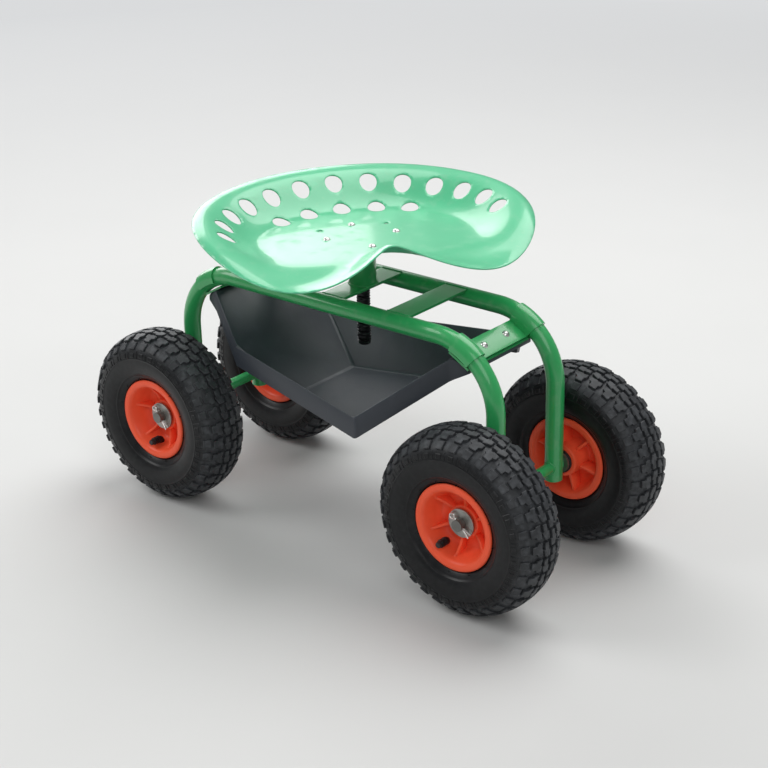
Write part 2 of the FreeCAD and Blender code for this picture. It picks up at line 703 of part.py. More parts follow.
def seat_height(x, y):
    """Height of the sheet over its flat middle: a steep wall that levels out at the edge."""
    angle = math.degrees(math.atan2(y, x))
    edge = seat_edge(angle)
    foot = max(edge - float(d.seat_wall_width), float(d.seat_flat_radius))
    climb = min(max((math.hypot(x, y) - foot) / (edge - foot), 0), 1)
    up = climb ** WALL_POWER
    down = LIP_WEIGHT * (1 - climb) ** WALL_POWER
    return seat_rim_height(angle) * up / (up + down)


def vent_spots():
    """Middle points of the two rows of round holes round the back of the seat."""
    rows = [(OUTER_VENT_COUNT, d.vent_span, d.vent_back_reach, d.vent_side_reach),
            (INNER_VENT_COUNT, d.vent_inner_span, d.vent_inner_back_reach, d.vent_inner_side_reach)]
    spots = []
    for count, span, back, side in rows:
        for index in range(count):
            angle = math.radians(float(span)) * (2 * index / (count - 1) - 1)
            spots.append((-float(back) * math.cos(angle), float(side) * math.sin(angle)))
    return spots


def make_seat():
    """Pressed pan: a smooth sheet trimmed to its outline and pierced."""
    half = float(d.seat_half_width)
    front, back = float(d.seat_front), float(d.seat_back)
    shift = float(d.seat_side_shift)
    margin = float(d.vent_diameter)
    span = [(-back - margin, front + margin), (-half - margin, half + margin)]
    axes = []
    for low, high in span:
        axes.append([low + (high - low) * step / SURFACE_STEPS for step in range(SURFACE_STEPS + 1)])
    surface = Part.BSplineSurface()
    surface.interpolate([[Vector(x, y, seat_height(x, y)) for y in axes[1]] for x in axes[0]])
    sheet_metal = surface.toShape().extrude(Vector(0, 0, -float(d.seat_thickness)))
    outline = Part.BSplineCurve()
    rim = []
    for step in range(OUTLINE_STEPS):
        angle = 360 * step / OUTLINE_STEPS - 180
        rim.append(Rotation(Vector(0, 0, 1), angle).multVec(Vector(seat_edge(angle), 0, 0)))
    outline.interpolate(rim, PeriodicFlag=True)
    depth = float(d.seat_rise) + half
    cutter = Part.Face(Part.Wire(outline.toShape()))
    cutter.translate(Vector(0, 0, -depth))
    shape = sheet_metal.common(cutter.extrude(Vector(0, 0, 2 * depth)))
    shape.translate(Vector(0, shift, 0))
    holes = [(x, y + shift, float(d.vent_diameter) / 2) for x, y in vent_spots()]
    for quarter in range(4):
        angle = math.radians(90 * quarter)
        reach = float(d.seat_bolt_circle) / 2
        holes.append((reach * math.cos(angle), reach * math.sin(angle), float(bolt_hole_radius)))
    for sign in (-1, 1):
        angle = math.radians(sign * float(d.spare_hole_angle))
        reach = float(d.spare_hole_circle) / 2
        holes.append((reach * math.cos(angle), reach * math.sin(angle), float(d.spare_hole_diameter) / 2))
    punches = [Part.makeCylinder(radius, 2 * depth, Vector(x, y, -depth)) for x, y, radius in holes]
    pan = doc.addObject("Part::Feature", "seat_pan")
    pan.Shape = shape.cut(Part.makeCompound(punches))
    place(keep(pan, "seat_pan"), z=seat_base, turn=seat_rotation)


seat_rotation = Rotation(Vector(0, 0, 1), float(d.seat_turn))


def make_seat_plate():
    reach = d.seat_bolt_circle / 2
    spots = [(reach, 0), (0, reach), (-reach, 0), (0, -reach)]
    plate = ring("seat_plate", 0, d.seat_plate_diameter / 2, 0, d.seat_plate_thickness)
    drill(plate, "XY_Plane", [(x, y, bolt_hole_radius) for x, y in spots])
    place(plate, z=plate_bottom, turn=seat_rotation)
    grip = d.seat_thickness + d.seat_plate_thickness + d.washer_thickness
    bolt = make_bolt("seat_bolt", grip)
    nut = make_nut("seat_nut")
    washer = ring("seat_washer", bolt_hole_radius, d.washer_diameter / 2, 0, d.washer_thickness)
    washer_foot = plate_bottom - d.washer_thickness
    rows = [("seat_bolts", bolt, seat_base), ("seat_washers", pattern_source(washer), washer_foot),
            ("seat_nuts", nut, washer_foot - d.nut_height)]
    for label, source, height in rows:
        places = []
        for x, y in spots:
            spot = seat_rotation.multVec(Vector(float(x), float(y), float(height)))
            places.append(Placement(spot, seat_rotation))
        group(label, source, places)


def make_tyre():
    """Carcass open towards the rim, with its beads inside the rim flanges, and its tread."""
    bead_face = d.rim_width / 2 - d.rim_flange_thickness - d.fit_gap
    bead_back = bead_face - d.tyre_bead
    bead_radius = barrel_outer + d.fit_gap
    foot = flange_radius + d.tyre_foot_gap
    shoulder = d.wheel_radius - d.tyre_crown_drop
    side = d.tyre_shoulder
    inner_shoulder = shoulder - d.tyre_carcass
    inner_side = side - d.tyre_carcass
    half = [(bead_radius, bead_face), (foot, bead_face), (shoulder, side)]
    inner_half = [(bead_radius, bead_back), (foot, bead_back), (inner_shoulder, inner_side)]
    loop = [(r, -z) for r, z in half] + half[::-1] + inner_half + [(r, -z) for r, z in inner_half[::-1]]
    sidewall = sagitta_radius(half[1], half[2], d.tyre_bulge)
    inner_wall = sagitta_radius(inner_half[1], inner_half[2], d.tyre_bulge)
    arcs = {1: (sidewall, 1), 2: (crown_radius, 1), 3: (sidewall, 1)}
    arcs.update({7: (inner_wall, -1), 8: (crown_radius, -1), 9: (inner_wall, -1)})
    body = pattern_source(new_body("carcass"))
    turn_section(body, loop, arcs)
    doc.recompute()
    tyre = doc.addObject("Part::Feature", "treaded_tyre")
    tyre.Shape = cut_tread(body.Shape)
    return tyre


def cut_tread(shape):
    """Cut the tread's blocks out of a plain tyre: gaps across its rows, then grooves round it."""
    depth = float(d.tread_depth)
    middle, outer = float(d.tread_middle_edge), float(d.tread_outer_edge)
    clear = float(d.wheel_radius) + depth
    run_out = (float(d.wheel_radius - d.tyre_crown_drop * 2),
               float(d.tyre_shoulder + d.tyre_bulge * RUN_OUT_SHARE))
    floor = {z: crown_height(z) - depth for z in (middle, outer)}
    middle_gap = [(floor[middle], middle), (floor[outer], outer), (clear, outer), (clear, middle)]
    shoulder_gap = [(floor[outer], outer), run_out, (clear, run_out[1]), (clear, outer)]
    pitch = 360 / BLOCK_COUNT
    for section, share in ((middle_gap, MIDDLE_GAP_SHARE), (shoulder_gap, SHOULDER_GAP_SHARE)):
        gaps = []
        for side, shift in ((1, 0), (-1, pitch / 2)):
            mirrored = [(r, side * z) for r, z in section]
            starts = [shift + pitch * step for step in range(BLOCK_COUNT)]
            gaps += [turned_cut(mirrored, start, pitch * share) for start in starts]
        shape = shape.cut(Part.makeCompound(gaps))
    half = float(d.tread_groove) / 2
    for z in (-outer, -middle, middle, outer):
        groove = [(floor[abs(z)], z - half), (floor[abs(z)], z + half), (clear, z + half), (clear, z - half)]
        shape = shape.cut(turned_cut(groove, 0, 360))
    return shape


def crown_height(z):
    """Radius of the tyre's crown at a distance from its middle."""
    bend = float(crown_radius)
    return float(d.wheel_radius) - bend + math.sqrt(bend ** 2 - z ** 2)


def turned_cut(section, start, sweep):
    """Turn a section of (radius, height) corners about Z through an angle."""
    face = flat_face([Vector(r, 0, z) for r, z in section])
    face.rotate(Vector(), Vector(0, 0, 1), start)
    return face.revolve(Vector(), Vector(0, 0, 1), sweep)


def sagitta_radius(start, finish, bulge):
    """Radius of the arc between two corners that stands out by a bulge in its middle."""
    run = finish[0] - start[0]
    rise = finish[1] - start[1]
    return ((run * run + rise * rise) / 4 + bulge * bulge) / (2 * bulge)


def make_inner_tube(label):
    tori = []
    for name, radius in (("skin", d.tube_section), ("air", d.tube_section - d.tube_wall)):
        torus = doc.addObject("Part::Torus", f"{label}_{name}")
        torus.setExpression("Radius1", tube_centre.text)
        torus.setExpression("Radius2", radius.text)
        tori.append(torus)
    tube = doc.addObject("Part::Cut", label)
    tube.Base, tube.Tool = tori
    return keep(tube, label)


# The inner tube hangs just under the tyre's inner crown, and the valve starts at its skin.
shoulder_square = d.tyre_shoulder * d.tyre_shoulder
crown_radius = (shoulder_square / d.tyre_crown_drop + d.tyre_crown_drop) / 2
inner_half_width = d.tyre_shoulder - d.tyre_carcass
inner_crown_rise = crown_radius - (crown_radius * crown_radius - inner_half_width * inner_half_width).root()
inner_crown = d.wheel_radius - d.tyre_crown_drop - d.tyre_carcass + inner_crown_rise
tube_centre = inner_crown - d.tube_gap - d.tube_section
valve_edge = d.valve_offset - d.valve_diameter / 2
valve_start = tube_centre - (d.tube_section * d.tube_section - valve_edge * valve_edge).root()


def make_rim(label):
    """Moulded rim: hub, disc, barrel, flanges and ribs, with the valve's hole."""
    bore = d.bush_diameter / 2 + d.fit_gap
    hub = d.hub_diameter / 2
    web = d.web_thickness / 2
    edge = d.rim_width / 2
    lip = edge - d.rim_flange_thickness
    half = [(barrel_inner, edge), (flange_radius, edge), (flange_radius, lip), (barrel_outer, lip)]
    outboard = [(bore, d.hub_outer), (hub, d.hub_outer), (hub, web - d.web_shift),
                (barrel_inner, web - d.web_shift)] + half
    inboard = [(bore, -d.hub_inner), (hub, -d.hub_inner), (hub, -web - d.web_shift),
               (barrel_inner, -web - d.web_shift)] + [(r, -z) for r, z in half]
    body = new_body(label)
    turn_section(body, inboard + outboard[::-1])
    plan = sketch_on(body, f"{label}_rib_plan", "XY_Plane", -d.rib_inner)
    start, finish = hub - d.rim_barrel_wall / 2, barrel_inner + d.rim_barrel_wall / 2
    thin = d.rib_thickness / 2
    draw_path(plan, [(start, -thin), (finish, -thin), (finish, thin), (start, thin)])
    rib = add_feature(body, "Pad", plan, f"{label}_rib", Length=d.rib_inner + d.rib_outer)
    doc.recompute()
    ribs = body.newObject("PartDesign::PolarPattern", f"{label}_ribs")
    ribs.Originals = [rib]
    ribs.Axis = (plan, ["N_Axis"])
    ribs.Angle = 360
    ribs.setExpression("Occurrences", d.rib_count.text)
    body.Tip = ribs
    depth = d.rim_barrel_wall * 2
    drill(body, "XZ_Plane", [(0, d.valve_offset, d.valve_diameter / 2 + d.fit_gap)],
          barrel_inner - d.rim_barrel_wall / 2, Type="Length", Length=depth, Reversed=True)
    return body


def wheel_item(item, wheel, shift):
    """Put a wheel's piece, made about Z with +Z outboard, on its axle."""
    end = 1 if wheel.startswith("front") else -1
    side = 1 if wheel.endswith("left") else -1
    outboard = Rotation(Vector(1, 0, 0), -90 * side)
    spin = Rotation(Vector(0, 1, 0), WHEEL_SPIN[wheel])
    rotation = spin.multiply(outboard)
    place(item, end * axle_x, side * d.track / 2, axle_z, rotation)
    if shift is not None:
        offset = rotation.multVec(shift)
        item.setExpression("Placement.Base.x", f"{(end * axle_x).text} + {offset.x}")
        item.setExpression("Placement.Base.y", f"{(side * d.track / 2).text} + {offset.y}")
        item.setExpression("Placement.Base.z", f"{axle_z.text} + {offset.z}")


def make_valve_stem(label):
    """Bent stem: it leaves the tube towards the axle, then turns outboard inside the barrel."""
    bend = float(d.valve_bend)
    level = float(d.valve_offset)
    start, corner = -float(valve_start - d.tube_gap), -float(barrel_inner)
    middle = bend * math.sqrt(0.5)
    points = [Vector(0, start, level), Vector(0, corner, level),
              Vector(0, corner + middle, level + bend - middle),
              Vector(0, corner + bend, level + bend), Vector(0, corner + bend, float(d.valve_tip))]
    arc = Part.Arc(*points[1:4]).toShape()
    spine = Part.Wire([Part.makeLine(*points[:2]), arc, Part.makeLine(*points[3:])])
    section = Part.Wire(Part.makeCircle(float(d.valve_diameter) / 2, points[0], Vector(0, 1, 0)))
    stem = doc.addObject("Part::Feature", label)
    stem.Shape = spine.makePipeShell([section], True, True)
    return keep(stem, label)


def make_wheel(wheel, tyre):
    wheel_item(group(f"{wheel}_tyre", tyre, [Placement()]), wheel, None)
    for maker, kind in ((make_rim, "rim"), (make_inner_tube, "inner_tube"), (make_valve_stem, "valve_stem")):
        wheel_item(maker(f"{wheel}_{kind}"), wheel, None)
    bore = axle_radius + d.run_gap
    outer, flange = d.bush_diameter / 2, d.bush_flange_diameter / 2
    length, thick = d.bush_length, d.bush_flange
    bush = pattern_source(new_body(f"{wheel}_bush"))
    turn_section(bush, [(bore, -length), (outer, -length), (outer, 0), (flange, 0), (flange, thick),
                        (bore, thick)])
    outboard = Placement(Vector(0, 0, float(d.hub_outer)), Rotation())
    inboard = Placement(Vector(0, 0, -float(d.hub_inner)), Rotation(Vector(1, 0, 0), 180))
    wheel_item(group(f"{wheel}_bushes", bush, [outboard, inboard]), wheel, None)
    cap_end = d.valve_tip + d.valve_cap_length
    cap = ring(f"{wheel}_valve_cap", 0, d.valve_cap_diameter / 2, d.valve_tip, cap_end)
    wheel_item(cap, wheel, Vector(0, float(d.valve_bend - barrel_inner), 0))


def axle_ends(reach):
    """Places of the four wheel fittings, with their +Z outboard."""
    ends = []
    for end in (-1, 1):
        for side in (-1, 1):
            spot = Vector(end * float(axle_x), side * float(reach), float(axle_z))
            ends.append(Placement(spot, Rotation(Vector(1, 0, 0), -90 * side)))
    return ends


def make_axle_fittings():
    """Inner and outer washers and split pins that keep the four wheels in place."""
    bore = axle_radius + d.fit_gap
    spacer = ring("wheel_spacer", bore, d.spacer_diameter / 2, 0, d.spacer_length)
    washer = ring("axle_washer", bore, d.axle_washer_diameter / 2, 0, d.axle_washer_thickness)
    group("wheel_spacers", pattern_source(spacer), axle_ends(rail_side + rail_radius))
    group("axle_washers", pattern_source(washer), axle_ends(d.track / 2 + washer_start))
    pin = doc.addObject("Part::Cylinder", "cotter_wire")
    pin.setExpression("Radius", (d.cotter_diameter / 2).text)
    pin.setExpression("Height", d.cotter_length.text)
    eye = doc.addObject("Part::Torus", "cotter_eye")
    eye.setExpression("Radius1", d.cotter_eye_radius.text)
    eye.setExpression("Radius2", (d.cotter_diameter / 4).text)
    place(eye, 0, 0, d.cotter_length + d.cotter_eye_radius, Rotation(Vector(1, 0, 0), 90))
    cotter = doc.addObject("Part::Fuse", "cotter_pin")
    cotter.Base, cotter.Tool = pin, eye
    drop = Placement(Vector(0, 0, float(axle_radius + d.cotter_eye_gap - d.cotter_length)), Rotation())
    places = [Placement(end.Base, axle_turn(end.Base.x)) for end in axle_ends(d.track / 2 + cotter_reach)]
    group("cotter_pins", cotter, [spot.multiply(drop) for spot in places])


make_rail("left_rail", 1)
make_rail("right_rail", -1)
make_axle("front_axle", 1)
make_axle("rear_axle", -1)
make_cross_bar("front_cross_bar", d.bar_offset)
make_cross_bar("rear_cross_bar", -d.bar_offset)
make_post()
make_clamp("front", 1)
make_clamp("rear", -1)
make_clamp_fasteners()
make_tray()
make_seat()
make_seat_plate()
treaded_tyre = make_tyre()
for wheel_name in WHEEL_SPIN:
    make_wheel(wheel_name, treaded_tyre)
make_axle_fittings()

doc.recompute()
for item in doc.Objects:
    if "Invalid" in item.State or "Error" in item.State:
        raise RuntimeError(f"{item.Label} failed: {item.State}")
for item in nodes:
    if item.Shape.isNull() or not item.Shape.isValid():
        raise RuntimeError(f"{item.Label} has no valid shape")
os.makedirs("parts", exist_ok=True)
for item in nodes:
    item.Shape.exportStep(f"parts/{item.Label}.step")
print(f"{len(nodes)} sub-parts written")
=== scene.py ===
# %% [markdown]
# # A rolling garden seat
# The seat is a pressed steel pan on a screw spindle, over a frame of two bent tubes that runs on four
# pneumatic wheels and carries a moulded tool tray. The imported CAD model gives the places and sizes, and
# this lesson adds what the solids leave out: fine tread, rounded edges, a thread, welds and finishes. The
# seat's lip and wall, the tray's edge and the rims' ribs follow the photograph more closely than the solids
# do; the text below says by how much.

import math
from itertools import product

import bmesh
import bpy
import numpy as np
from mathutils import Matrix, Vector
from mathutils.geometry import delaunay_2d_cdt


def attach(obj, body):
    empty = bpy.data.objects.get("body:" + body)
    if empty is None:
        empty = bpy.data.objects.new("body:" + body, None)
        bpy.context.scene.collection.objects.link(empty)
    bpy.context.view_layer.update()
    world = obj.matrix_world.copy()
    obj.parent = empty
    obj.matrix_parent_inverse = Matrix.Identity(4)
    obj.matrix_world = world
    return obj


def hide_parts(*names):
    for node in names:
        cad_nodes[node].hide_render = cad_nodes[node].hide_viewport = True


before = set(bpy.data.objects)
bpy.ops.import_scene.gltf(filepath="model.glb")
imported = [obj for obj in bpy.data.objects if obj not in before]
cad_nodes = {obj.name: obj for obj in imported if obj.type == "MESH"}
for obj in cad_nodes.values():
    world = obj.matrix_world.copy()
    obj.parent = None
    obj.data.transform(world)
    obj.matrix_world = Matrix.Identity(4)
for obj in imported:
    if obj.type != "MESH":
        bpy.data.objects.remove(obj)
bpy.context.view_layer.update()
MILLIMETRE = 0.001


def add_object(name, data):
    """A new object in the scene, at the origin."""
    made = bpy.data.objects.new(name, data)
    bpy.context.scene.collection.objects.link(made)
    return made


def in_metres(points):
    return [tuple(MILLIMETRE * value for value in point) for point in points]


# %% [markdown]
# ## The camera
# The photograph's camera was found by fitting the wheels, rails and tray to their pixels. It stands in
# front of the seat's right side, a little above it. A camera looks along its own -Z, so its matrix has
# the picture's right, the picture's up and the way back to the camera as columns.

# %% Camera
CAMERA_PLACE = Vector((1.4403, -1.6697, 1.1590))
CAMERA_AZIMUTH = math.radians(40.11)
CAMERA_ELEVATION = math.radians(23.44)
CAMERA_ROLL = math.radians(-1.39)
FOCAL_PIXELS = 1681
PHOTO_PIXELS = 768
SENSOR_WIDTH = 36


def add_camera():
    level = math.cos(CAMERA_ELEVATION)
    back = Vector((math.sin(CAMERA_AZIMUTH) * level, -math.cos(CAMERA_AZIMUTH) * level,
                   math.sin(CAMERA_ELEVATION)))
    flat_right = Vector((0, 0, 1)).cross(back).normalized()
    flat_up = back.cross(flat_right)
    right = math.cos(CAMERA_ROLL) * flat_right + math.sin(CAMERA_ROLL) * flat_up
    up = back.cross(right)
    lens = bpy.data.cameras.new("photo_camera")
    lens.sensor_width = SENSOR_WIDTH
    lens.lens = SENSOR_WIDTH * FOCAL_PIXELS / PHOTO_PIXELS
    camera = add_object("photo_camera", lens)
    camera.matrix_world = Matrix.Translation(CAMERA_PLACE) @ Matrix((right, up, back)).transposed().to_4x4()
    bpy.context.scene.camera = camera
    print(f"lens {lens.lens:.1f} mm")


add_camera()

# %% [markdown]
# ## Sockets as numbers
# Node trees read better as sums than as lists of links. This class wraps one socket: adding or
# multiplying it makes a Math node, and `node` makes any other node. It serves the finishes and the
# Geometry Nodes trees alike.


# %% Socket wrapper
class Wire:
    """An output socket of a node tree; sums on it become Math nodes of that tree."""

    def __init__(self, tree, socket=None):
        self.tree = tree
        self.socket = socket

    def feed(self, socket, value):
        if isinstance(value, Wire):
            self.tree.links.new(value.socket, socket)
        else:
            socket.default_value = value

    def node(self, kind, settings=None, values=None, output=0):
        made = self.tree.nodes.new(kind)
        for name, value in (settings or {}).items():
            setattr(made, name, value)
        for name, value in (values or {}).items():
            self.feed(made.inputs[name], value)
        return Wire(self.tree, made.outputs[output])

    def sum(self, operation, first, second):
        return self.node("ShaderNodeMath", {"operation": operation}, {0: first, 1: second})

    def __add__(self, other):
        return self.sum("ADD", self, other)

    def __sub__(self, other):
        return self.sum("SUBTRACT", self, other)

    def __rsub__(self, other):
        return self.sum("SUBTRACT", other, self)

    def __mul__(self, other):
        return self.sum("MULTIPLY", self, other)

    def __truediv__(self, other):
        return self.sum("DIVIDE", self, other)

    __radd__ = __add__
    __rmul__ = __mul__


# %% [markdown]
# ## Finishes
# Every surface needs small changes of colour and gloss, or it looks like a toy. Each finish below starts
# from Object coordinates, so a pattern has the same size on every piece, in metres. Noise gives soft
# patches, a Map Range node cuts spots out of it, and a Bump node gives paint its slight ripple and
# moulded plastic its grain. The Mix node's sockets go by number, because its kinds share their names.

# %% Finish helpers
MIX_FACTOR = 0
MIX_FIRST = 6
MIX_SECOND = 7
MIX_RESULT = 2


def new_finish(name, **steady):
    """A material with its shader, the values that are the same all over, and its coordinates."""
    material = bpy.data.materials.new(name)
    material.use_nodes = True
    shader = material.node_tree.nodes["Principled BSDF"]
    for socket, value in steady.items():
        shader.inputs[socket.replace("_", " ")].default_value = value
    start = Wire(material.node_tree)
    coordinates = start.node("ShaderNodeTexCoord", output="Object")
    return material, shader, coordinates


def vary(shader, coordinates, **looks):
    """Feed what changes over the surface into the shader."""
    for socket, value in looks.items():
        coordinates.feed(shader.inputs[socket.replace("_", " ")], value)


def noise(coordinates, scale, detail=3, stretch=None):
    """Soft patches between 0 and 1."""
    if stretch:
        coordinates = coordinates.node("ShaderNodeMapping", None, {"Vector": coordinates, "Scale": stretch})
    sizes = {"Vector": coordinates, "Scale": scale, "Detail": detail}
    return coordinates.node("ShaderNodeTexNoise", None, sizes)


def spots(value, low, high):
    """Turn patches into a mask that rises from 0 to 1 between two levels."""
    levels = {"Value": value, "From Min": low, "From Max": high}
    return value.node("ShaderNodeMapRange", {"clamp": True}, levels)


def distance_along(coordinates, axis):
    """Distance from the object's middle along one axis, to either side."""
    along = coordinates.node("ShaderNodeSeparateXYZ", None, {"Vector": coordinates}, output=axis)
    return along.node("ShaderNodeMath", {"operation": "ABSOLUTE"}, {0: along})


def mix_colours(mask, first, second):
    colours = {MIX_FACTOR: mask, MIX_FIRST: first, MIX_SECOND: second}
    return mask.node("ShaderNodeMix", {"data_type": "RGBA"}, colours, MIX_RESULT)


def bumped(height, strength, distance):
    """A surface normal with small heights, in metres."""
    values = {"Height": height, "Strength": strength, "Distance": distance}
    return height.node("ShaderNodeBump", None, values)


def opaque(red, green, blue):
    return (red, green, blue, 1)


# %% [markdown]
# The frame is powder coated: a hard, glossy skin with a faint ripple, called orange peel. The seat has the
# same coat, so its paler colour is painted sky light: it lies open to the sky. Its pressed sheet has
# shallow waves. A little dust dulls the gloss in patches.

# %% Green paint
FRAME_GREEN = opaque(0.032, 0.40, 0.115)
FRAME_SHADE = opaque(0.025, 0.34, 0.095)
# The seat's two greens are the frame's coat made paler: painted sky light.
SEAT_GREEN_SKY_LIT = opaque(0.1, 0.56, 0.29)
SEAT_SHADE_SKY_LIT = opaque(0.085, 0.51, 0.26)
SEAT_WAVE = 14
DUST = opaque(0.45, 0.47, 0.42)
DUST_COVER = 0.12


def green_paint(name, colour, shade, wave):
    material, shader, place = new_finish(name, Coat_Roughness=0.08, IOR=1.5)
    patches = noise(place, 9)
    dust = spots(noise(place, 60, detail=5), 0.55, 0.75)
    tint = mix_colours(spots(patches, 0.3, 0.7), colour, shade)
    orange_peel = noise(place, 420, detail=2) + wave * noise(place, 15, detail=2)
    vary(shader, place,
         Base_Color=mix_colours(dust * DUST_COVER, tint, DUST),
         Roughness=0.24 + 0.12 * patches + 0.12 * dust,
         Coat_Weight=0.5 - 0.3 * dust,
         Normal=bumped(orange_peel, strength=0.12, distance=0.0004))
    return material


frame_green = green_paint("frame_green", FRAME_GREEN, FRAME_SHADE, 0)
seat_green_sky_lit = green_paint("seat_green_sky_lit", SEAT_GREEN_SKY_LIT, SEAT_SHADE_SKY_LIT, SEAT_WAVE)

# %% [markdown]
# The axles are painted between the legs and bare outside them, where the wheels run. One material does
# both: a mask on the distance from the middle switches the colour, the gloss and the metal.

# %% Bare and painted steel
ZINC = opaque(0.43, 0.435, 0.41)
ZINC_DARK = opaque(0.25, 0.255, 0.24)
STEEL = opaque(0.2, 0.2, 0.19)
BRIGHT_STEEL = opaque(0.78, 0.78, 0.76)
BLACK_STEEL = opaque(0.03, 0.031, 0.034)
OILED_STEEL = opaque(0.012, 0.012, 0.013)
PAINT_END = 0.081


def plated_steel(name, colour, dull, gloss):
    """Plated steel has crystal patches and small dull stains."""
    material, shader, place = new_finish(name, Metallic=1.0)
    crystals = place.node("ShaderNodeTexVoronoi", None, {"Vector": place, "Scale": 240}, output="Distance")
    stains = spots(noise(place, 110, detail=4), 0.45, 0.7)
    brushing = noise(place, 700, detail=2, stretch=(1, 0.15, 1))
    vary(shader, place,
         Base_Color=mix_colours(0.35 * crystals + 0.55 * stains, colour, dull),
         Roughness=gloss + 0.2 * stains,
         Normal=bumped(brushing, strength=0.1, distance=0.0003))
    return material


def axle_steel():
    material, shader, place = new_finish("axle_steel")
    away = distance_along(place, "Y")
    bare = away.node("ShaderNodeMath", {"operation": "GREATER_THAN"}, {0: away, 1: PAINT_END})
    stains = spots(noise(place, 110, detail=4), 0.45, 0.7)
    vary(shader, place,
         Base_Color=mix_colours(bare, FRAME_GREEN, STEEL),
         Metallic=bare,
         Roughness=0.28 + 0.06 * bare + 0.2 * stains,
         Coat_Weight=0.7 - 0.7 * bare)
    return material


def dark_steel():
    material, shader, place = new_finish("dark_steel")
    oil = spots(noise(place, 45, detail=4), 0.4, 0.7)
    vary(shader, place,
         Base_Color=mix_colours(oil, BLACK_STEEL, OILED_STEEL),
         Metallic=0.8 - 0.3 * oil,
         Roughness=0.42 - 0.14 * oil)
    return material


zinc = plated_steel("zinc_steel", ZINC, ZINC_DARK, gloss=0.4)
bright_zinc = plated_steel("bright_zinc", BRIGHT_STEEL, ZINC, gloss=0.28)
bare_axle = axle_steel()
spindle_steel = dark_steel()

# %% [markdown]
# The tray is moulded in charcoal plastic with a fine matt grain, and the rims in an orange red one. Rubber
# is almost black. Where a tyre runs, it is scuffed grey, so its finish measures the distance from the axle:
# the wheels stand alike on both sides of the middle, and one sum serves all four.

# %% Plastics and rubber
AXLE_X = 278.5
WHEEL_RADIUS = 130
SCUFF_REACH = (0.104 ** 2, 0.116 ** 2)
CHARCOAL = opaque(0.028, 0.034, 0.044)
CHARCOAL_WORN = opaque(0.046, 0.054, 0.068)
ORANGE = opaque(0.96, 0.115, 0.045)
ORANGE_WORN = opaque(0.86, 0.09, 0.036)
BLACK = opaque(0.014, 0.014, 0.015)
BLACK_WORN = opaque(0.03, 0.03, 0.03)
RUBBER = opaque(0.006, 0.0065, 0.0075)
RUBBER_SCUFFED = opaque(0.07, 0.075, 0.082)


def moulded_plastic(name, colour, worn, grain, gloss, mirror=0.5):
    material, shader, place = new_finish(name, Specular_IOR_Level=mirror)
    clouds = noise(place, 14, detail=4)
    scuffs = spots(noise(place, 55, detail=6, stretch=(1, 1, 0.35)), 0.56, 0.72)
    vary(shader, place,
         Base_Color=mix_colours(0.35 * clouds + 0.45 * scuffs, colour, worn),
         Roughness=gloss + 0.14 * clouds + 0.1 * scuffs,
         Normal=bumped(noise(place, grain, detail=2), strength=0.22, distance=0.0004))
    return material


def tyre_finish():
    material, shader, place = new_finish("tyre_black", Specular_IOR_Level=0.3)
    ahead = distance_along(place, "X") - AXLE_X * MILLIMETRE
    above = distance_along(place, "Z") - WHEEL_RADIUS * MILLIMETRE
    scuffed = spots(ahead * ahead + above * above, *SCUFF_REACH)
    dust = spots(noise(place, 130, detail=6), 0.42, 0.75)
    grey = scuffed * (0.4 + 0.5 * dust) + 0.1 * dust
    vary(shader, place,
         Base_Color=mix_colours(grey, RUBBER, RUBBER_SCUFFED),
         Roughness=0.28 + 0.14 * scuffed + 0.16 * noise(place, 22, detail=5),
         Normal=bumped(noise(place, 900, detail=2), strength=0.15, distance=0.0003))
    return material


tray_charcoal = moulded_plastic("tray_charcoal", CHARCOAL, CHARCOAL_WORN, grain=1500, gloss=0.36)
rim_orange = moulded_plastic("rim_orange", ORANGE, ORANGE_WORN, grain=700, gloss=0.3, mirror=0.3)
black_plastic = moulded_plastic("black_plastic", BLACK, BLACK_WORN, grain=900, gloss=0.4)
tyre_black = tyre_finish()
print(f"{len(bpy.data.materials)} materials")

# %% [markdown]
# ## Making and placing pieces
# Shapes are worked out in millimetres and turned into metres once, when the mesh is made. Closed shapes
# get their doubles merged and their normals turned outwards. A finished piece rides on a CAD body, and it
# may stand for CAD nodes, which are then hidden. A turned shape stops just short of its axis, at `POLE`.

# %% Piece helpers
MERGE_DISTANCE = 1e-6
POLE = 0.01
SOFT_EDGE = 0.8
BOTH = (-1, 1)


def mesh_of(name, points, faces, closed=True):
    mesh = bpy.data.meshes.new(name)
    mesh.from_pydata(in_metres(points), [], faces)
    if closed:
        work = bmesh.new()
        work.from_mesh(mesh)
        bmesh.ops.remove_doubles(work, verts=work.verts, dist=MERGE_DISTANCE)
        bmesh.ops.recalc_face_normals(work, faces=work.faces)
        work.to_mesh(mesh)
        work.free()
    return mesh


def worked_out(carrier):
    """The mesh of an object after its modifiers; the object itself goes."""
    bpy.context.view_layer.update()
    depsgraph = bpy.context.evaluated_depsgraph_get()
    result = bpy.data.meshes.new_from_object(carrier.evaluated_get(depsgraph))
    bpy.data.objects.remove(carrier)
    return result


def frozen(mesh, *modifiers):
    """The mesh after its modifiers, given as (type, settings)."""
    carrier = add_object("carrier", mesh)
    for kind, settings in modifiers:
        modifier = carrier.modifiers.new(kind.lower(), kind)
        for name, value in settings.items():
            setattr(modifier, name, value)
    return worked_out(carrier)


def rounding(width, segments=2, angle=30):
    """A Bevel modifier's settings, with its width in millimetres."""
    return "BEVEL", {"width": width * MILLIMETRE, "segments": segments, "limit_method": "ANGLE",
                     "angle_limit": math.radians(angle), "harden_normals": True}


def add_piece(name, mesh, finish, body, slot, *replaced, sharp=35):
    mesh.materials.clear()
    mesh.materials.append(finish)
    mesh.shade_smooth()
    mesh.set_sharp_from_angle(angle=math.radians(sharp))
    mesh.name = name
    piece = add_object(name, mesh)
    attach(piece, body)
    if replaced:
        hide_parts(*replaced)
    return piece


def joined(name, meshes):
    """Several meshes as one."""
    work = bmesh.new()
    for mesh in meshes:
        work.from_mesh(mesh)
    result = bpy.data.meshes.new(name)
    work.to_mesh(result)
    work.free()
    return result


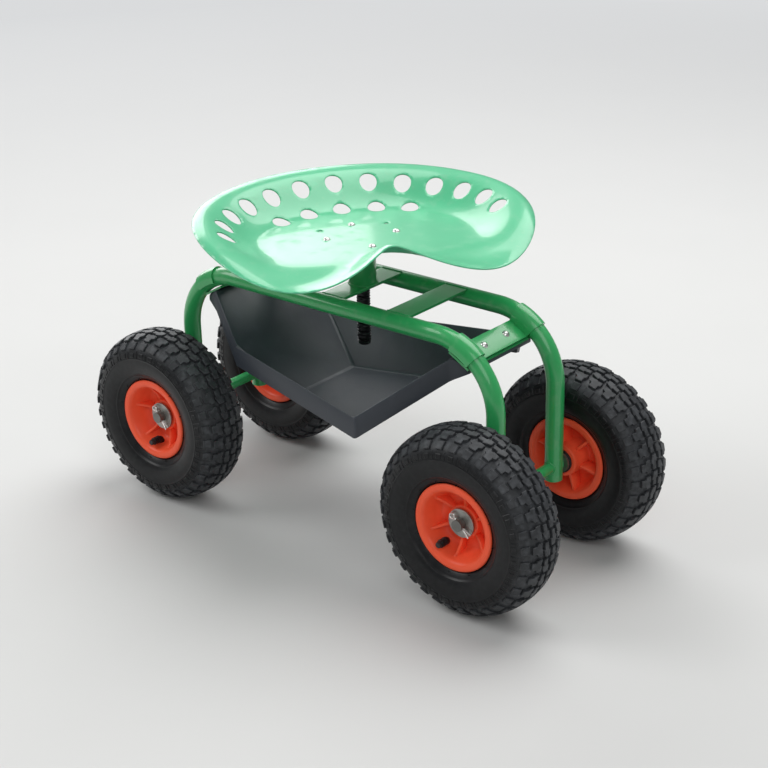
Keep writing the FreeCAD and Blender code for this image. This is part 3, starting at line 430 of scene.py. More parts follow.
def turned(profile, steps, closed=False):
    """Points and faces of a chain of (radius, height) turned about Z."""
    angles = [2 * math.pi * step / steps for step in range(steps)]
    points = [(r * math.cos(a), r * math.sin(a), z) for r, z in profile for a in angles]
    rows = len(profile)
    faces = []
    for row in range(rows if closed else rows - 1):
        for step in range(steps):
            after = (step + 1) % steps
            above = (row + 1) % rows
            low, high = row * steps, above * steps
            faces.append((low + step, low + after, high + after, high + step))
    return points, faces


def skinned(name, rings):
    """A closed mesh over equal rings of points, with a cap on the first and the last."""
    count = len(rings[0])
    last = (len(rings) - 1) * count
    faces = [tuple(range(count)), tuple(range(last, last + count))]
    for low in range(0, last, count):
        for index in range(count):
            after = (index + 1) % count
            faces.append((low + index, low + after, low + count + after, low + count + index))
    return mesh_of(name, [point for ring in rings for point in ring], faces)


def smooth_chain(corners, steps):
    """A smooth chain of points through corners."""
    corners = np.array(corners, float)
    ends = np.vstack([2 * corners[0] - corners[1], corners, 2 * corners[-1] - corners[-2]])
    chain = []
    for before, start, finish, after in zip(ends, ends[1:], ends[2:], ends[3:]):
        for step in range(steps):
            t = step / steps
            curve = 2 * start + (finish - before) * t
            curve += (2 * before - 5 * start + 4 * finish - after) * t ** 2
            curve += (3 * start - before - 3 * finish + after) * t ** 3
            chain.append(curve / 2)
    chain.append(corners[-1])
    return np.array(chain)


# %% [markdown]
# ## Copies round an axle
# Tread, ribs and vent hairs repeat round a wheel. One Geometry Nodes tree serves them all: it puts one
# point for each copy at the axle, turns each copy a little further than the last, and joins the copies
# into a real mesh.


# %% Geometry Nodes helpers
def new_tree(name, **inputs):
    """An empty tree with its inputs as wires: a geometry, and others by their kind."""
    tree = bpy.data.node_groups.new(name, "GeometryNodeTree")
    kinds = {"Geometry": "Geometry", **inputs}
    for label, kind in kinds.items():
        tree.interface.new_socket(label, in_out="INPUT", socket_type=f"NodeSocket{kind}")
    tree.interface.new_socket("Geometry", in_out="OUTPUT", socket_type="NodeSocketGeometry")
    group = tree.nodes.new("NodeGroupInput")
    return tree, {label: Wire(tree, group.outputs[label]) for label in kinds}


def end_tree(tree, copies, finish):
    """Close a tree with real geometry and its material."""
    solid = copies.node("GeometryNodeRealizeInstances", None, {"Geometry": copies})
    finished = solid.node("GeometryNodeSetMaterial", None, {"Geometry": solid, "Material": finish})
    tree.links.new(finished.socket, tree.nodes.new("NodeGroupOutput").inputs[0])
    return tree


def run_tree(tree, mesh, values):
    """The mesh that a tree makes from another one."""
    carrier = add_object("carrier", mesh)
    modifier = carrier.modifiers.new("tree", "NODES")
    modifier.node_group = tree
    for item in tree.interface.items_tree:
        if item.in_out == "INPUT" and item.name in values:
            modifier[item.identifier] = values[item.name]
    return worked_out(carrier)


def ring_tree():
    tree, inputs = new_tree("copies_round_an_axle", Count="Int", Finish="Material")
    shape = inputs["Geometry"]
    spokes = shape.node("GeometryNodeMeshLine", None, {"Count": inputs["Count"], "Offset": (0, 0, 0)})
    turn = shape.node("GeometryNodeInputIndex") * (2 * math.pi) / inputs["Count"]
    angles = shape.node("ShaderNodeCombineXYZ", None, {"Z": turn})
    rotation = shape.node("FunctionNodeEulerToRotation", None, {"Euler": angles})
    copies = shape.node("GeometryNodeInstanceOnPoints", None,
                        {"Points": spokes, "Instance": shape, "Rotation": rotation})
    return end_tree(tree, copies, inputs["Finish"])


round_axle = ring_tree()

# %% [markdown]
# ## Wheels
# A wheel is built about Z with +Z outboard, then turned onto its axle. The tyre is a turned carcass with a
# belt of rubber blocks. The blocks are drawn flat, on a strip whose one side runs round the wheel and whose
# other side runs over the crown to the sidewall, and then wrapped onto the carcass.

# %% Tyre carcass
WHEEL_Y = 128
TREAD_HEIGHT = 4.2
TURN_STEPS = 96
WHEEL_SPIN = {"front_right": 36, "front_left": 75, "rear_right": 10, "rear_left": -50}
CARCASS_HALF = [(125.7, 0), (125.0, 12), (122.4, 23), (117.6, 32), (111.5, 38.2), (102, 42.2), (90, 42.8),
                (78, 40.2), (69.5, 35.8), (64.3, 32.4), (62.0, 30.2), (58, 28.5), (50.4, 28.5)]
CHAIN_STEPS = 8
SIDEWALL_RINGS = ((98, 0.7), (72, 0.8))
RING_WIDTH = 0.9


def carcass_profile():
    """Chain over the tyre from bead to bead, with two fine rings on each sidewall."""
    mirrored = [(r, -z) for r, z in CARCASS_HALF[:0:-1]]
    chain = smooth_chain(mirrored + CARCASS_HALF, CHAIN_STEPS)
    for ring_radius, ring_height in SIDEWALL_RINGS:
        side = np.sign(chain[:, 1])
        chain[:, 1] += side * ring_height * np.exp(-((chain[:, 0] - ring_radius) / RING_WIDTH) ** 2)
    return chain


carcass_chain = carcass_profile()
steps_along = np.linalg.norm(np.diff(carcass_chain, axis=0), axis=1)
carcass_reach = np.concatenate([[0], np.cumsum(steps_along)])
carcass_reach -= carcass_reach[-1] / 2
carcass_tangent = np.gradient(carcass_chain, carcass_reach, axis=0)


def on_carcass(round_mm, across_mm, height):
    """A point over the tyre: a distance round it, a distance from its middle, and a height off it."""
    r = np.interp(across_mm, carcass_reach, carcass_chain[:, 0])
    z = np.interp(across_mm, carcass_reach, carcass_chain[:, 1])
    run_r = np.interp(across_mm, carcass_reach, carcass_tangent[:, 0])
    run_z = np.interp(across_mm, carcass_reach, carcass_tangent[:, 1])
    length = math.hypot(run_r, run_z)
    r += height * run_z / length
    z -= height * run_r / length
    angle = round_mm / WHEEL_RADIUS
    return (r * math.cos(angle), r * math.sin(angle), z)


print(f"carcass is {carcass_reach[-1] * 2:.0f} mm from bead to bead")

# %% [markdown]
# One pitch of the tread has five blocks on each side: a notched block at the middle, a stepped block beside
# it, a square one on the shoulder, and a low stub and a thin bar on the sidewall. Each is an outline of
# (share of the pitch, distance from the middle) and a share of the full height. The two sides are half a
# pitch apart.

# %% Tread blocks
PITCHES = 34
PITCH = 2 * math.pi * WHEEL_RADIUS / PITCHES
BLOCKS = [
    ([(0.04, 1.0), (0.46, 1.0), (0.46, 4.2), (0.9, 4.2), (0.9, 10.6), (0.52, 10.6), (0.52, 13.2),
      (0.04, 9.0)], 1.0),
    ([(0.22, 15), (0.58, 14.4), (0.64, 16.4), (0.99, 14.6), (0.99, 21.4), (0.88, 22.8), (0.88, 29.2),
      (0.4, 29.2), (0.4, 23.2), (0.22, 21.6)], 1.0),
    ([(0.42, 32), (0.98, 32), (0.95, 43), (0.45, 43)], 0.72),
    ([(0.5, 48), (0.94, 48), (0.92, 55), (0.52, 55)], 0.22),
    ([(0.18, 45), (0.25, 45), (0.25, 56), (0.18, 56)], 0.22),
]
CHAMFER = 0.9
CHAMFER_FALL = 0.63
LEAST_WALL = 0.5
BLOCK_SINK = 1.2


def tread_block(outline, share, side, shift):
    """A block with chamfered top edges, wrapped onto the carcass."""
    flat = np.array([((s + shift) * PITCH, side * w) for s, w in outline])
    middle = flat.mean(axis=0)
    shrink = 1 - CHAMFER / np.abs(flat - middle).max(axis=0)
    top = middle + (flat - middle) * shrink
    height = TREAD_HEIGHT * share
    lower = max(height - CHAMFER_FALL, height * LEAST_WALL)
    rings = [(flat, -BLOCK_SINK), (flat, lower), (top, height)]
    return skinned("block", [[on_carcass(x, y, level) for x, y in ring] for ring, level in rings])


def tread_pitch():
    blocks = []
    for outline, share in BLOCKS:
        for side, shift in ((1, 0), (-1, 0.5)):
            blocks.append(tread_block(outline, share, side, shift))
    return joined("tread_pitch", blocks)


tread_ring = run_tree(round_axle, tread_pitch(), {"Count": PITCHES, "Finish": tyre_black})
carcass_mesh = mesh_of("carcass", *turned(carcass_chain, TURN_STEPS, closed=True))
print(f"tread has {len(tread_ring.polygons)} faces")

# %% [markdown]
# The mould leaves short rubber hairs where air escaped. A dozen of them stand round the foot of the
# sidewall, by the rim's edge.

# %% Vent hairs
HAIR_COUNT = 12
HAIR_HALF = [(POLE, -1), (0.7, -1), (0.42, 3.2), (POLE, 3.4)]
HAIR_SIDES = 6
HAIR_LEAN = math.radians(-25)
HAIR_FOOT = Vector((65.2, 0, 32.6))


def vent_hair():
    """One tapered hair that leans out of the sidewall's foot."""
    points, faces = turned(HAIR_HALF, HAIR_SIDES)
    lean = Matrix.Rotation(HAIR_LEAN, 4, "Y")
    return mesh_of("hair", [lean @ Vector(point) + HAIR_FOOT for point in points], faces)


hair_ring = run_tree(round_axle, vent_hair(), {"Count": HAIR_COUNT, "Finish": tyre_black})

# %% [markdown]
# ## Rims
# The rim is one moulding: a wide flange that holds the tyre, a cone that falls to a flat disc, and a hub
# joined to the cone by six ribs on each face. The hub lies deep in the dish outboard and stands out of it
# inboard. The turned section has rounded corners, and the ribs are copies round the axle. A rib's side is a
# chain of (radius, height, thickness). Outboard, a rib's free edge climbs from 8.6 mm at the hub to 25 mm at
# the cone, where the solid's stays at 8 mm.

# %% Rim section and ribs
RIB_COUNT = 6
RIM_FLANGE = [(50.8, 32.2), (53, 33.5), (58.6, 33.8), (60.6, 33.2), (61.3, 31.6), (61.3, 30.4), (50.2, 30)]
RIM_OUTBOARD = [(12.2, 9.2), (12.8, 10), (22.2, 10), (23, 9.2), (23.3, 7), (24, 2.4), (26, 0.6), (38.5, 0.4),
                (42, 2.4), (45, 14), (48.6, 28.4)] + RIM_FLANGE
RIM_INBOARD = [(12.2, -40.2), (12.8, -41), (22.2, -41), (23, -40.2), (23.3, -36), (24.4, -11), (26.4, -8.8),
               (38, -8.4), (42, -10.4), (45, -18), (48.6, -28.6)] + [(r, -z) for r, z in RIM_FLANGE]
RIB_SIDES = [[(21, -2, 5.8), (44, -2, 5.8), (48.2, 25, 4.2), (45.6, 20, 4), (34, 12.4, 4), (21, 8.6, 4)],
             [(21, -6, 5.8), (44, -6, 5.8), (49, -29.6, 4.2), (44, -29, 4), (32, -29.4, 4), (21, -31, 4)]]


def rim_mesh():
    return mesh_of("rim", *turned(RIM_OUTBOARD + RIM_INBOARD[::-1], TURN_STEPS, closed=True))


def rib_mesh():
    """One rib on each face, thinner at its free edge."""
    meshes = []
    for side in RIB_SIDES:
        faces = [[(r, half * thick / 2, z) for r, z, thick in side] for half in BOTH]
        meshes.append(frozen(skinned("rib", faces), rounding(SOFT_EDGE)))
    return joined("rib_pair", meshes)


rib_ring = run_tree(round_axle, rib_mesh(), {"Count": RIB_COUNT, "Finish": rim_orange})
plain_rim = rim_mesh()

# %% [markdown]
# A bent tube valve comes out of the rim between two ribs and turns outboard. The CAD stem stays, and gets
# a ridged rubber sleeve and a rounded cap, both turned.

# %% Valve
VALVE_PLACE = 39.5
VALVE_STEPS = 20
SLEEVE_HALF = [(4.8, 17.6), (5.6, 18.2), (5.6, 21), (5.15, 21.4), (5.15, 22), (5.6, 22.4), (5.6, 24.6),
               (5.15, 25), (5.15, 25.6), (5.6, 26), (5.6, 29.2), (4.8, 30.1), (POLE, 30.1)]
CAP_HALF = [(POLE, 30), (4.1, 30), (4.25, 30.6), (4.25, 33.8), (3.4, 35), (POLE, 35)]


def valve_part(half):
    """A turned valve piece, parallel to the axle."""
    points, faces = turned(half, VALVE_STEPS)
    return mesh_of("valve", [(x, y - VALVE_PLACE, z) for x, y, z in points], faces)


sleeve_mesh = valve_part(SLEEVE_HALF)
cap_mesh = valve_part(CAP_HALF)


# %% [markdown]
# Each wheel takes its own copies. The pieces are moved in their mesh, so every object stays at the origin.

# %% Place the wheels
def wheel_matrix(wheel):
    end = 1 if wheel.startswith("front") else -1
    side = 1 if wheel.endswith("left") else -1
    middle = Matrix.Translation(MILLIMETRE * Vector((end * AXLE_X, side * WHEEL_Y, WHEEL_RADIUS)))
    spin = Matrix.Rotation(math.radians(WHEEL_SPIN[wheel]), 4, "Y")
    return middle @ spin @ Matrix.Rotation(math.radians(-90 * side), 4, "X")


def placed(mesh, matrix):
    copy = mesh.copy()
    copy.transform(matrix)
    return copy


def add_wheel(wheel):
    matrix = wheel_matrix(wheel)
    body = f"{wheel}_wheel"
    carcass = joined("tyre", [placed(carcass_mesh, matrix), placed(hair_ring, matrix)])
    add_piece(f"{wheel}_carcass", carcass, tyre_black, body, "tyre_rubber", f"{wheel}_tyre")
    add_piece(f"{wheel}_tread", placed(tread_ring, matrix), tyre_black, body, "tyre_rubber", sharp=25)
    rim = joined("rim", [placed(plain_rim, matrix), placed(rib_ring, matrix)])
    add_piece(f"{wheel}_ribbed_rim", rim, rim_orange, body, "rim_plastic", f"{wheel}_rim", sharp=50)
    add_piece(f"{wheel}_valve_sleeve", placed(sleeve_mesh, matrix), tyre_black, body, "tube_rubber")
    cap = f"{wheel}_valve_cap"
    add_piece(f"{wheel}_turned_cap", placed(cap_mesh, matrix), black_plastic, body, "bush_plastic", cap)


for wheel_name in WHEEL_SPIN:
    add_wheel(wheel_name)
print(f"{len(WHEEL_SPIN)} wheels")

# %% [markdown]
# ## Seat pan
# The pan follows a rule: its edge is a rounded outline with a notch in front, its rim is high behind and
# low at the two thigh lobes, and its wall rises steeply and levels out at the edge, where a lip rolls over
# on both sides. The flat outline with its holes is cut into triangles first, then every point is lifted to
# the rule's height, which keeps the holes round seen from above. Solidify and Bevel give the sheet its
# thickness and soft edges. The solid has no rolled lip, which falls 6 mm here, and its wall is a little
# softer, at most 2 mm away.

# %% Seat rule
SEAT_BASE = 426.9
SEAT_TURN = math.radians(-33)
SEAT_SHIFT = 5
SEAT_HALF_WIDTH = 237
SEAT_BACK = 196
SEAT_FRONT = 198
SEAT_NOTCH = 70
SEAT_NOTCH_ANGLE = 23
SEAT_WALL = 100
SEAT_FLAT = 69
SEAT_RISE = 45
SEAT_SIDE_DROP = 6
SEAT_LOBE_FALL = 7
SEAT_LOBE_ANGLE = 41
SEAT_LOBE_SPREAD = 34
SEAT_POMMEL = 8
OUTLINE_POWER = 2.1
WALL_POWER = 2.0
LIP_WEIGHT = 0.9
LIP_START = 0.86
LIP_ROLL = 6
LIP_FADE = 4
SHEET = 2.2
SHEET_EDGE = 0.7


def seat_edge(angle):
    """Distance from the pan's middle to its edge, by the angle in degrees from its forward line."""
    ahead = np.cos(np.radians(angle))
    aside = np.sin(np.radians(angle))
    reach = np.where(ahead > 0, SEAT_FRONT, SEAT_BACK)
    powers = np.abs(ahead / reach) ** OUTLINE_POWER + np.abs(aside / SEAT_HALF_WIDTH) ** OUTLINE_POWER
    return powers ** (-1 / OUTLINE_POWER) - SEAT_NOTCH * np.exp(-(angle / SEAT_NOTCH_ANGLE) ** 2)


def seat_height(x, y):
    angle = np.degrees(np.arctan2(y, x))
    edge = seat_edge(angle)
    foot = np.maximum(edge - SEAT_WALL, SEAT_FLAT)
    climb = np.clip((np.hypot(x, y) - foot) / (edge - foot), 0, 1)
    up = climb ** WALL_POWER
    share = up / (up + LIP_WEIGHT * (1 - climb) ** WALL_POWER)
    from_lobe = (np.hypot(angle, SEAT_POMMEL) - SEAT_LOBE_ANGLE) / SEAT_LOBE_SPREAD
    rim = SEAT_RISE - SEAT_SIDE_DROP * np.sin(np.radians(angle)) ** 2
    rim = rim - (SEAT_RISE + SEAT_LOBE_FALL) * np.exp(-from_lobe ** 2)
    lip = np.clip((climb - LIP_START) / (1 - LIP_START), 0, 1) ** 2
    aside = np.sin(np.radians(angle)) ** LIP_FADE
    return rim * share - LIP_ROLL * lip * aside


# %% [markdown]
# The pan has an outer row of round holes on its back wall, a shorter inner row at the wall's foot, and two
# small spare holes beside the bolts. A row is a count, half its span in degrees, and its reach to the back
# and to the side.

# %% Seat holes and mesh
VENT_RADIUS = 12.5
VENT_ROWS = [(13, 91, 155, 194), (5, 37, 115, 158)]
SPARE_RADIUS = 3.3
SPARE_REACH = 63
SPARE_ANGLE = math.radians(130)
OUTLINE_STEPS = 260
VENT_STEPS = 40
SPARE_STEPS = 20
GRID = 4.0
CLEAR = 2.0
KEEP_INSIDE = 1
CUT_DISTANCE = 1e-5


def seat_holes():
    """Holes of the pan as (x, y, radius) from the pan's middle."""
    holes = []
    for count, span, back, side in VENT_ROWS:
        for index in range(count):
            angle = math.radians(span) * (2 * index / (count - 1) - 1)
            holes.append((-back * math.cos(angle), side * math.sin(angle), VENT_RADIUS))
    for sign in BOTH:
        spare_y = SPARE_REACH * math.sin(sign * SPARE_ANGLE) - SEAT_SHIFT
        holes.append((SPARE_REACH * math.cos(SPARE_ANGLE), spare_y, SPARE_RADIUS))
    return holes


def hole_points(x, y, radius):
    steps = VENT_STEPS if radius == VENT_RADIUS else SPARE_STEPS
    angles = np.arange(steps) * 2 * math.pi / steps
    return np.stack([x + radius * np.cos(angles), y + radius * np.sin(angles)], axis=1)


def seat_sheet():
    """The pan's upper skin, cut into triangles with its holes open."""
    angles = np.arange(OUTLINE_STEPS) * 360 / OUTLINE_STEPS - 180
    reach = seat_edge(angles)
    loops = [np.stack([reach * np.cos(np.radians(angles)), reach * np.sin(np.radians(angles))], axis=1)]
    holes = seat_holes()
    loops += [hole_points(*hole) for hole in holes]
    ruler = np.arange(-SEAT_HALF_WIDTH - GRID, SEAT_HALF_WIDTH + GRID, GRID)
    across, along = np.meshgrid(ruler, ruler)
    grid = np.stack([across.ravel(), along.ravel()], axis=1)
    inside = np.hypot(*grid.T) < seat_edge(np.degrees(np.arctan2(grid[:, 1], grid[:, 0]))) - CLEAR
    for x, y, radius in holes:
        inside &= np.hypot(grid[:, 0] - x, grid[:, 1] - y) > radius + CLEAR
    edges = []
    count = 0
    for loop in loops:
        edges += [(count + index, count + (index + 1) % len(loop)) for index in range(len(loop))]
        count += len(loop)
    flat = np.vstack(loops + [grid[inside]])
    cut = delaunay_2d_cdt([Vector(point) for point in flat], edges, [], KEEP_INSIDE, CUT_DISTANCE)
    flat = np.array([tuple(vertex) for vertex in cut[0]])
    kept = []
    for face in cut[2]:
        middle = flat[face].mean(axis=0)
        if all(math.hypot(middle[0] - x, middle[1] - y) > radius for x, y, radius in holes):
            kept.append(tuple(face))
    heights = SEAT_BASE + seat_height(flat[:, 0], flat[:, 1])
    x = flat[:, 0] * math.cos(SEAT_TURN) - (flat[:, 1] + SEAT_SHIFT) * math.sin(SEAT_TURN)
    y = flat[:, 0] * math.sin(SEAT_TURN) + (flat[:, 1] + SEAT_SHIFT) * math.cos(SEAT_TURN)
    return mesh_of("pan", np.stack([x, y, heights], axis=1), kept, closed=False)


pan_wall = ("SOLIDIFY", {"thickness": SHEET * MILLIMETRE, "offset": -1})
pan_mesh = frozen(seat_sheet(), pan_wall, rounding(SHEET_EDGE, angle=50))
add_piece("pressed_pan", pan_mesh, seat_green_sky_lit, "seat", "green_paint", "seat_pan", sharp=60)
print(f"pan has {len(pan_mesh.polygons)} faces")

# %% [markdown]
# ## Tool tray
# The tray is a moulded sheet: a floor, four sloping walls, a ramp at each end that rises to its clamp, and a
# turned-down edge all round. It is built as one folded sheet without thickness. Bevel rounds every fold, as
# a mould would, and Solidify makes the wall. The sheet's points go in pairs along its length: even numbers
# lie on the right and odd ones on the left. The edge is 32 mm deep along the sides, where the solid has
# 27 mm, and the tops of the ramps are 8.3 mm wider on each side.

# %% Tray
TRAY_WALL = 3
TRAY_FOLD = 4
TRAY_FLOOR_Z = 187
TRAY_RIM_Z = 257
REAR_RIM_X, REAR_RIM_HALF = -160, 98
REAR_FLOOR_X, REAR_FLOOR_HALF = -82, 68
FRONT_FLOOR_X = 49
FRONT_RIM_X, FRONT_RIM_HALF = 137, 184
SIDE_TAPER = (FRONT_RIM_HALF - REAR_RIM_HALF) / (FRONT_RIM_X - REAR_RIM_X)
SIDE_WALLS = [(4, 10, 8, 6), (5, 7, 9, 11)]
TRAY_EDGE = [0, 2, 4, 10, 12, 14, 15, 13, 11, 5, 3, 1]
TRAY_SKIRT = 32
TRAY_END_SKIRT = 6
TRAY_END_HALVES = (70.7, 79)
BEND_X = 184
BEND_Z = 251.5
CLAMP_ANGLE = math.radians(30)
FLANGE_SEAT = 76.8
FLANGE_ENDS = (17, -10)


def clamp_point(along, out):
    """Place (x, z) by the front clamp's own axes: along the tube, and out of its bend."""
    x = BEND_X + along * math.cos(CLAMP_ANGLE) + out * math.sin(CLAMP_ANGLE)
    z = BEND_Z - along * math.sin(CLAMP_ANGLE) + out * math.cos(CLAMP_ANGLE)
    return x, z


def tray_stations():
    """The tray's long section from rear to front: (x, z, half width)."""
    front_floor_half = REAR_FLOOR_HALF + SIDE_TAPER * (FRONT_FLOOR_X - REAR_FLOOR_X)
    ends = [clamp_point(along, FLANGE_SEAT) for along in FLANGE_ENDS]
    stations = [(-x, z, half) for (x, z), half in zip(ends, TRAY_END_HALVES)]
    stations += [(REAR_RIM_X, TRAY_RIM_Z, REAR_RIM_HALF), (REAR_FLOOR_X, TRAY_FLOOR_Z, REAR_FLOOR_HALF)]
    stations += [(FRONT_FLOOR_X, TRAY_FLOOR_Z, front_floor_half), (FRONT_RIM_X, TRAY_RIM_Z, FRONT_RIM_HALF)]
    return stations + [(-x, z, half) for x, z, half in stations[1::-1]]


def tray_sheet():
    stations = tray_stations()
    points = [(x, side * half, z) for x, z, half in stations for side in BOTH]
    faces = []
    for index in range(len(stations) - 1):
        right, left = 2 * index, 2 * index + 1
        faces.append((right, right + 2, left + 2, left))
    faces += SIDE_WALLS
    first = len(points)
    for index in TRAY_EDGE:
        x, y, z = points[index]
        points.append((x, y, z - (TRAY_SKIRT if 2 <= index < first - 2 else TRAY_END_SKIRT)))
    for place, index in enumerate(TRAY_EDGE):
        after = (place + 1) % len(TRAY_EDGE)
        faces.append((index, first + place, first + after, TRAY_EDGE[after]))
    return mesh_of("tray", points, faces, closed=False)


tray_wall = ("SOLIDIFY", {"thickness": TRAY_WALL * MILLIMETRE, "offset": -1, "use_even_offset": True})
tray_mesh = frozen(tray_sheet(), rounding(TRAY_FOLD, 4, 12), tray_wall)
add_piece("moulded_tray", tray_mesh, tray_charcoal, "frame", "tray_plastic", "tool_tray", sharp=40)
print(f"tray has {len(tray_mesh.polygons)} faces")

# %% [markdown]
# ## Cross bars
# The flat bars are cut from rolled strip, scribed to the round of the tubes and welded between them, just
# under their tops. The section is drawn across the frame with a short arc at each end, and drawn out along
# the frame. Bevel takes the sharpness off its edges.

# %% Cross bars
BAR_X = 115
BAR_HALF_WIDTH = 19
BAR_BOTTOM = 354.2
BAR_TOP = 358.2
RAIL_Y = 68
RAIL_Z = 346
RAIL_RADIUS = 12.7
END_STEPS = 4


def tube_side(height):
    """Distance from the frame's middle to the inner side of a rail, at a height."""
    return RAIL_Y - math.sqrt(RAIL_RADIUS ** 2 - (height - RAIL_Z) ** 2)


def bar_mesh(x):
    heights = [BAR_BOTTOM + (BAR_TOP - BAR_BOTTOM) * step / END_STEPS for step in range(END_STEPS + 1)]
    section = [(tube_side(height), height) for height in heights]
    section += [(-y, z) for y, z in section[::-1]]
    sides = [[(x + half * BAR_HALF_WIDTH, y, z) for y, z in section] for half in BOTH]
    return frozen(skinned("bar", sides), rounding(SOFT_EDGE))


for bar_name, bar_x in (("front_cross_bar", BAR_X), ("rear_cross_bar", -BAR_X), ("seat_cross_bar", 0)):
    add_piece(f"{bar_name}_strip", bar_mesh(bar_x), frame_green, "frame", "green_paint", bar_name)

# %% [markdown]
# ## Screw spindle
# The spindle is a coarse screw. Its thread follows a helix, so a Geometry Nodes tree draws a spiral curve of
# the right pitch and sweeps a small diamond along it. The core and its chamfered lower end are turned.

# %% Spindle
SPINDLE_BOTTOM = 266.7
SPINDLE_TOP = 419.7
THREAD_PITCH = 4
THREAD_DEPTH = 1.5
SPINDLE_RADIUS = 10
SPINDLE_CHAMFER = 1.5
SPINDLE_STEPS = 32


def thread_tree():
    tree, inputs = new_tree("screw_thread", Turns="Float", Radius="Float", Height="Float", Depth="Float",
                            Finish="Material")
    core = inputs["Geometry"]
    helix = core.node("GeometryNodeCurveSpiral", None,
                      {"Resolution": SPINDLE_STEPS, "Rotations": inputs["Turns"], "Height": inputs["Height"],
                       "Start Radius": inputs["Radius"], "End Radius": inputs["Radius"]})
    tooth = core.node("GeometryNodeCurvePrimitiveCircle", None, {"Resolution": 4, "Radius": inputs["Depth"]})
    ridge = core.node("GeometryNodeCurveToMesh", None,
                      {"Curve": helix, "Profile Curve": tooth, "Fill Caps": True})
    both = tree.nodes.new("GeometryNodeJoinGeometry")
    tree.links.new(core.socket, both.inputs[0])
    tree.links.new(ridge.socket, both.inputs[0])
    return end_tree(tree, Wire(tree, both.outputs[0]), inputs["Finish"])


def spindle_mesh():
    length = SPINDLE_TOP - SPINDLE_BOTTOM
    core = SPINDLE_RADIUS - THREAD_DEPTH
    half = [(POLE, 0), (core - SPINDLE_CHAMFER, 0), (core, SPINDLE_CHAMFER), (core, length), (POLE, length)]
    points, faces = turned(half, SPINDLE_STEPS)
    threaded = length - 2 * THREAD_PITCH
    values = {"Turns": threaded / THREAD_PITCH, "Radius": core * MILLIMETRE, "Height": threaded * MILLIMETRE,
              "Depth": THREAD_DEPTH * MILLIMETRE, "Finish": spindle_steel}
    lowered = [(x, y, z - THREAD_PITCH) for x, y, z in points]
    mesh = run_tree(thread_tree(), mesh_of("core", lowered, faces), values)
    mesh.transform(Matrix.Translation((0, 0, (SPINDLE_BOTTOM + THREAD_PITCH) * MILLIMETRE)))
    return mesh


add_piece("threaded_spindle", spindle_mesh(), spindle_steel, "spindle", "dark_steel", "seat_spindle")

# %% [markdown]
# ## Weld beads
# Rails, axles, cross bars and post are welded. A bead is a row of overlapping ripples along the joint, so a
# tree walks along a path and sets a small ball at each step.

# %% Welds
POST_RADIUS = 19.05
POST_BEAD_GAP = 0.6
POST_BEAD_LIFT = 0.4
AXLE_BEAD_RADIUS = 8.5
BEAD_STEP = 1.6
BEAD_RADIUS = 1.7
BAR_WELD = 34
WELD_STEPS = 48


def bead_tree():
    tree, inputs = new_tree("weld_bead", Step="Float", Size="Float", Finish="Material")
    path = inputs["Geometry"]
    curve = path.node("GeometryNodeMeshToCurve", None, {"Mesh": path})
    steps = {"Curve": curve, "Length": inputs["Step"]}
    even = path.node("GeometryNodeCurveToPoints", {"mode": "LENGTH"}, steps)
    ball = path.node("GeometryNodeMeshIcoSphere", None, {"Radius": inputs["Size"], "Subdivisions": 2})
    drops = path.node("GeometryNodeInstanceOnPoints", None, {"Points": even, "Instance": ball})
    return end_tree(tree, drops, inputs["Finish"])


weld_path = bead_tree()


def bead(points, loop):
    count = len(points)
    mesh = bpy.data.meshes.new("path")
    edges = [(index, (index + 1) % count) for index in range(count if loop else count - 1)]
    mesh.from_pydata(in_metres(points), edges, [])
    values = {"Step": BEAD_STEP * MILLIMETRE, "Size": BEAD_RADIUS * MILLIMETRE, "Finish": frame_green}
    return run_tree(weld_path, mesh, values)


def weld_circle(radius):
    angles = [2 * math.pi * step / WELD_STEPS for step in range(WELD_STEPS)]
    return [(radius * math.cos(angle), radius * math.sin(angle)) for angle in angles]


def axle_weld(end, side, face):
    """A ring round an axle, on the inner or outer face of a round leg."""
    path = []
    for across, up in weld_circle(AXLE_BEAD_RADIUS):
        bulge = math.sqrt(RAIL_RADIUS ** 2 - across ** 2)
        path.append((end * AXLE_X + across, side * (RAIL_Y + face * bulge), WHEEL_RADIUS + up))
    return bead(path, True)


def bar_weld(bar_x, side, height):
    """A short bead along a rail, at the top or bottom edge of a cross bar's end."""
    ends = [(bar_x + half * BAR_WELD / 2, side * tube_side(height), height) for half in BOTH]
    return bead(ends, False)


def weld_beads():
    post_ring = weld_circle(POST_RADIUS + POST_BEAD_GAP)
    beads = [bead([(x, y, BAR_TOP + POST_BEAD_LIFT) for x, y in post_ring], True)]
    beads += [axle_weld(*place) for place in product(BOTH, BOTH, BOTH)]
    beads += [bar_weld(*place) for place in product((-BAR_X, 0, BAR_X), BOTH, (BAR_BOTTOM, BAR_TOP))]
    return joined("welds", beads)


weld_mesh = weld_beads()
add_piece("weld_beads", weld_mesh, frame_green, "frame", "green_paint", sharp=60)
print(f"welds have {len(weld_mesh.polygons)} faces")

# %% [markdown]
# ## Split pins
# A split pin is one wire folded in half: an eye, two legs through the axle, and tips bent apart so that it
# cannot fall out. A smooth curve with a round section draws it.

# %% Split pins
COTTER_REACH = 19.4
COTTER_TURN = {-1: math.radians(-42), 1: math.radians(-52)}
COTTER_WIRE = 1.3
COTTER_HALF = [(3.6, -21), (2.2, -14), (0.75, -8), (0.75, 0), (0.75, 8), (1.4, 10.5), (4.2, 13.5),
               (3.2, 17), (0, 18.2)]


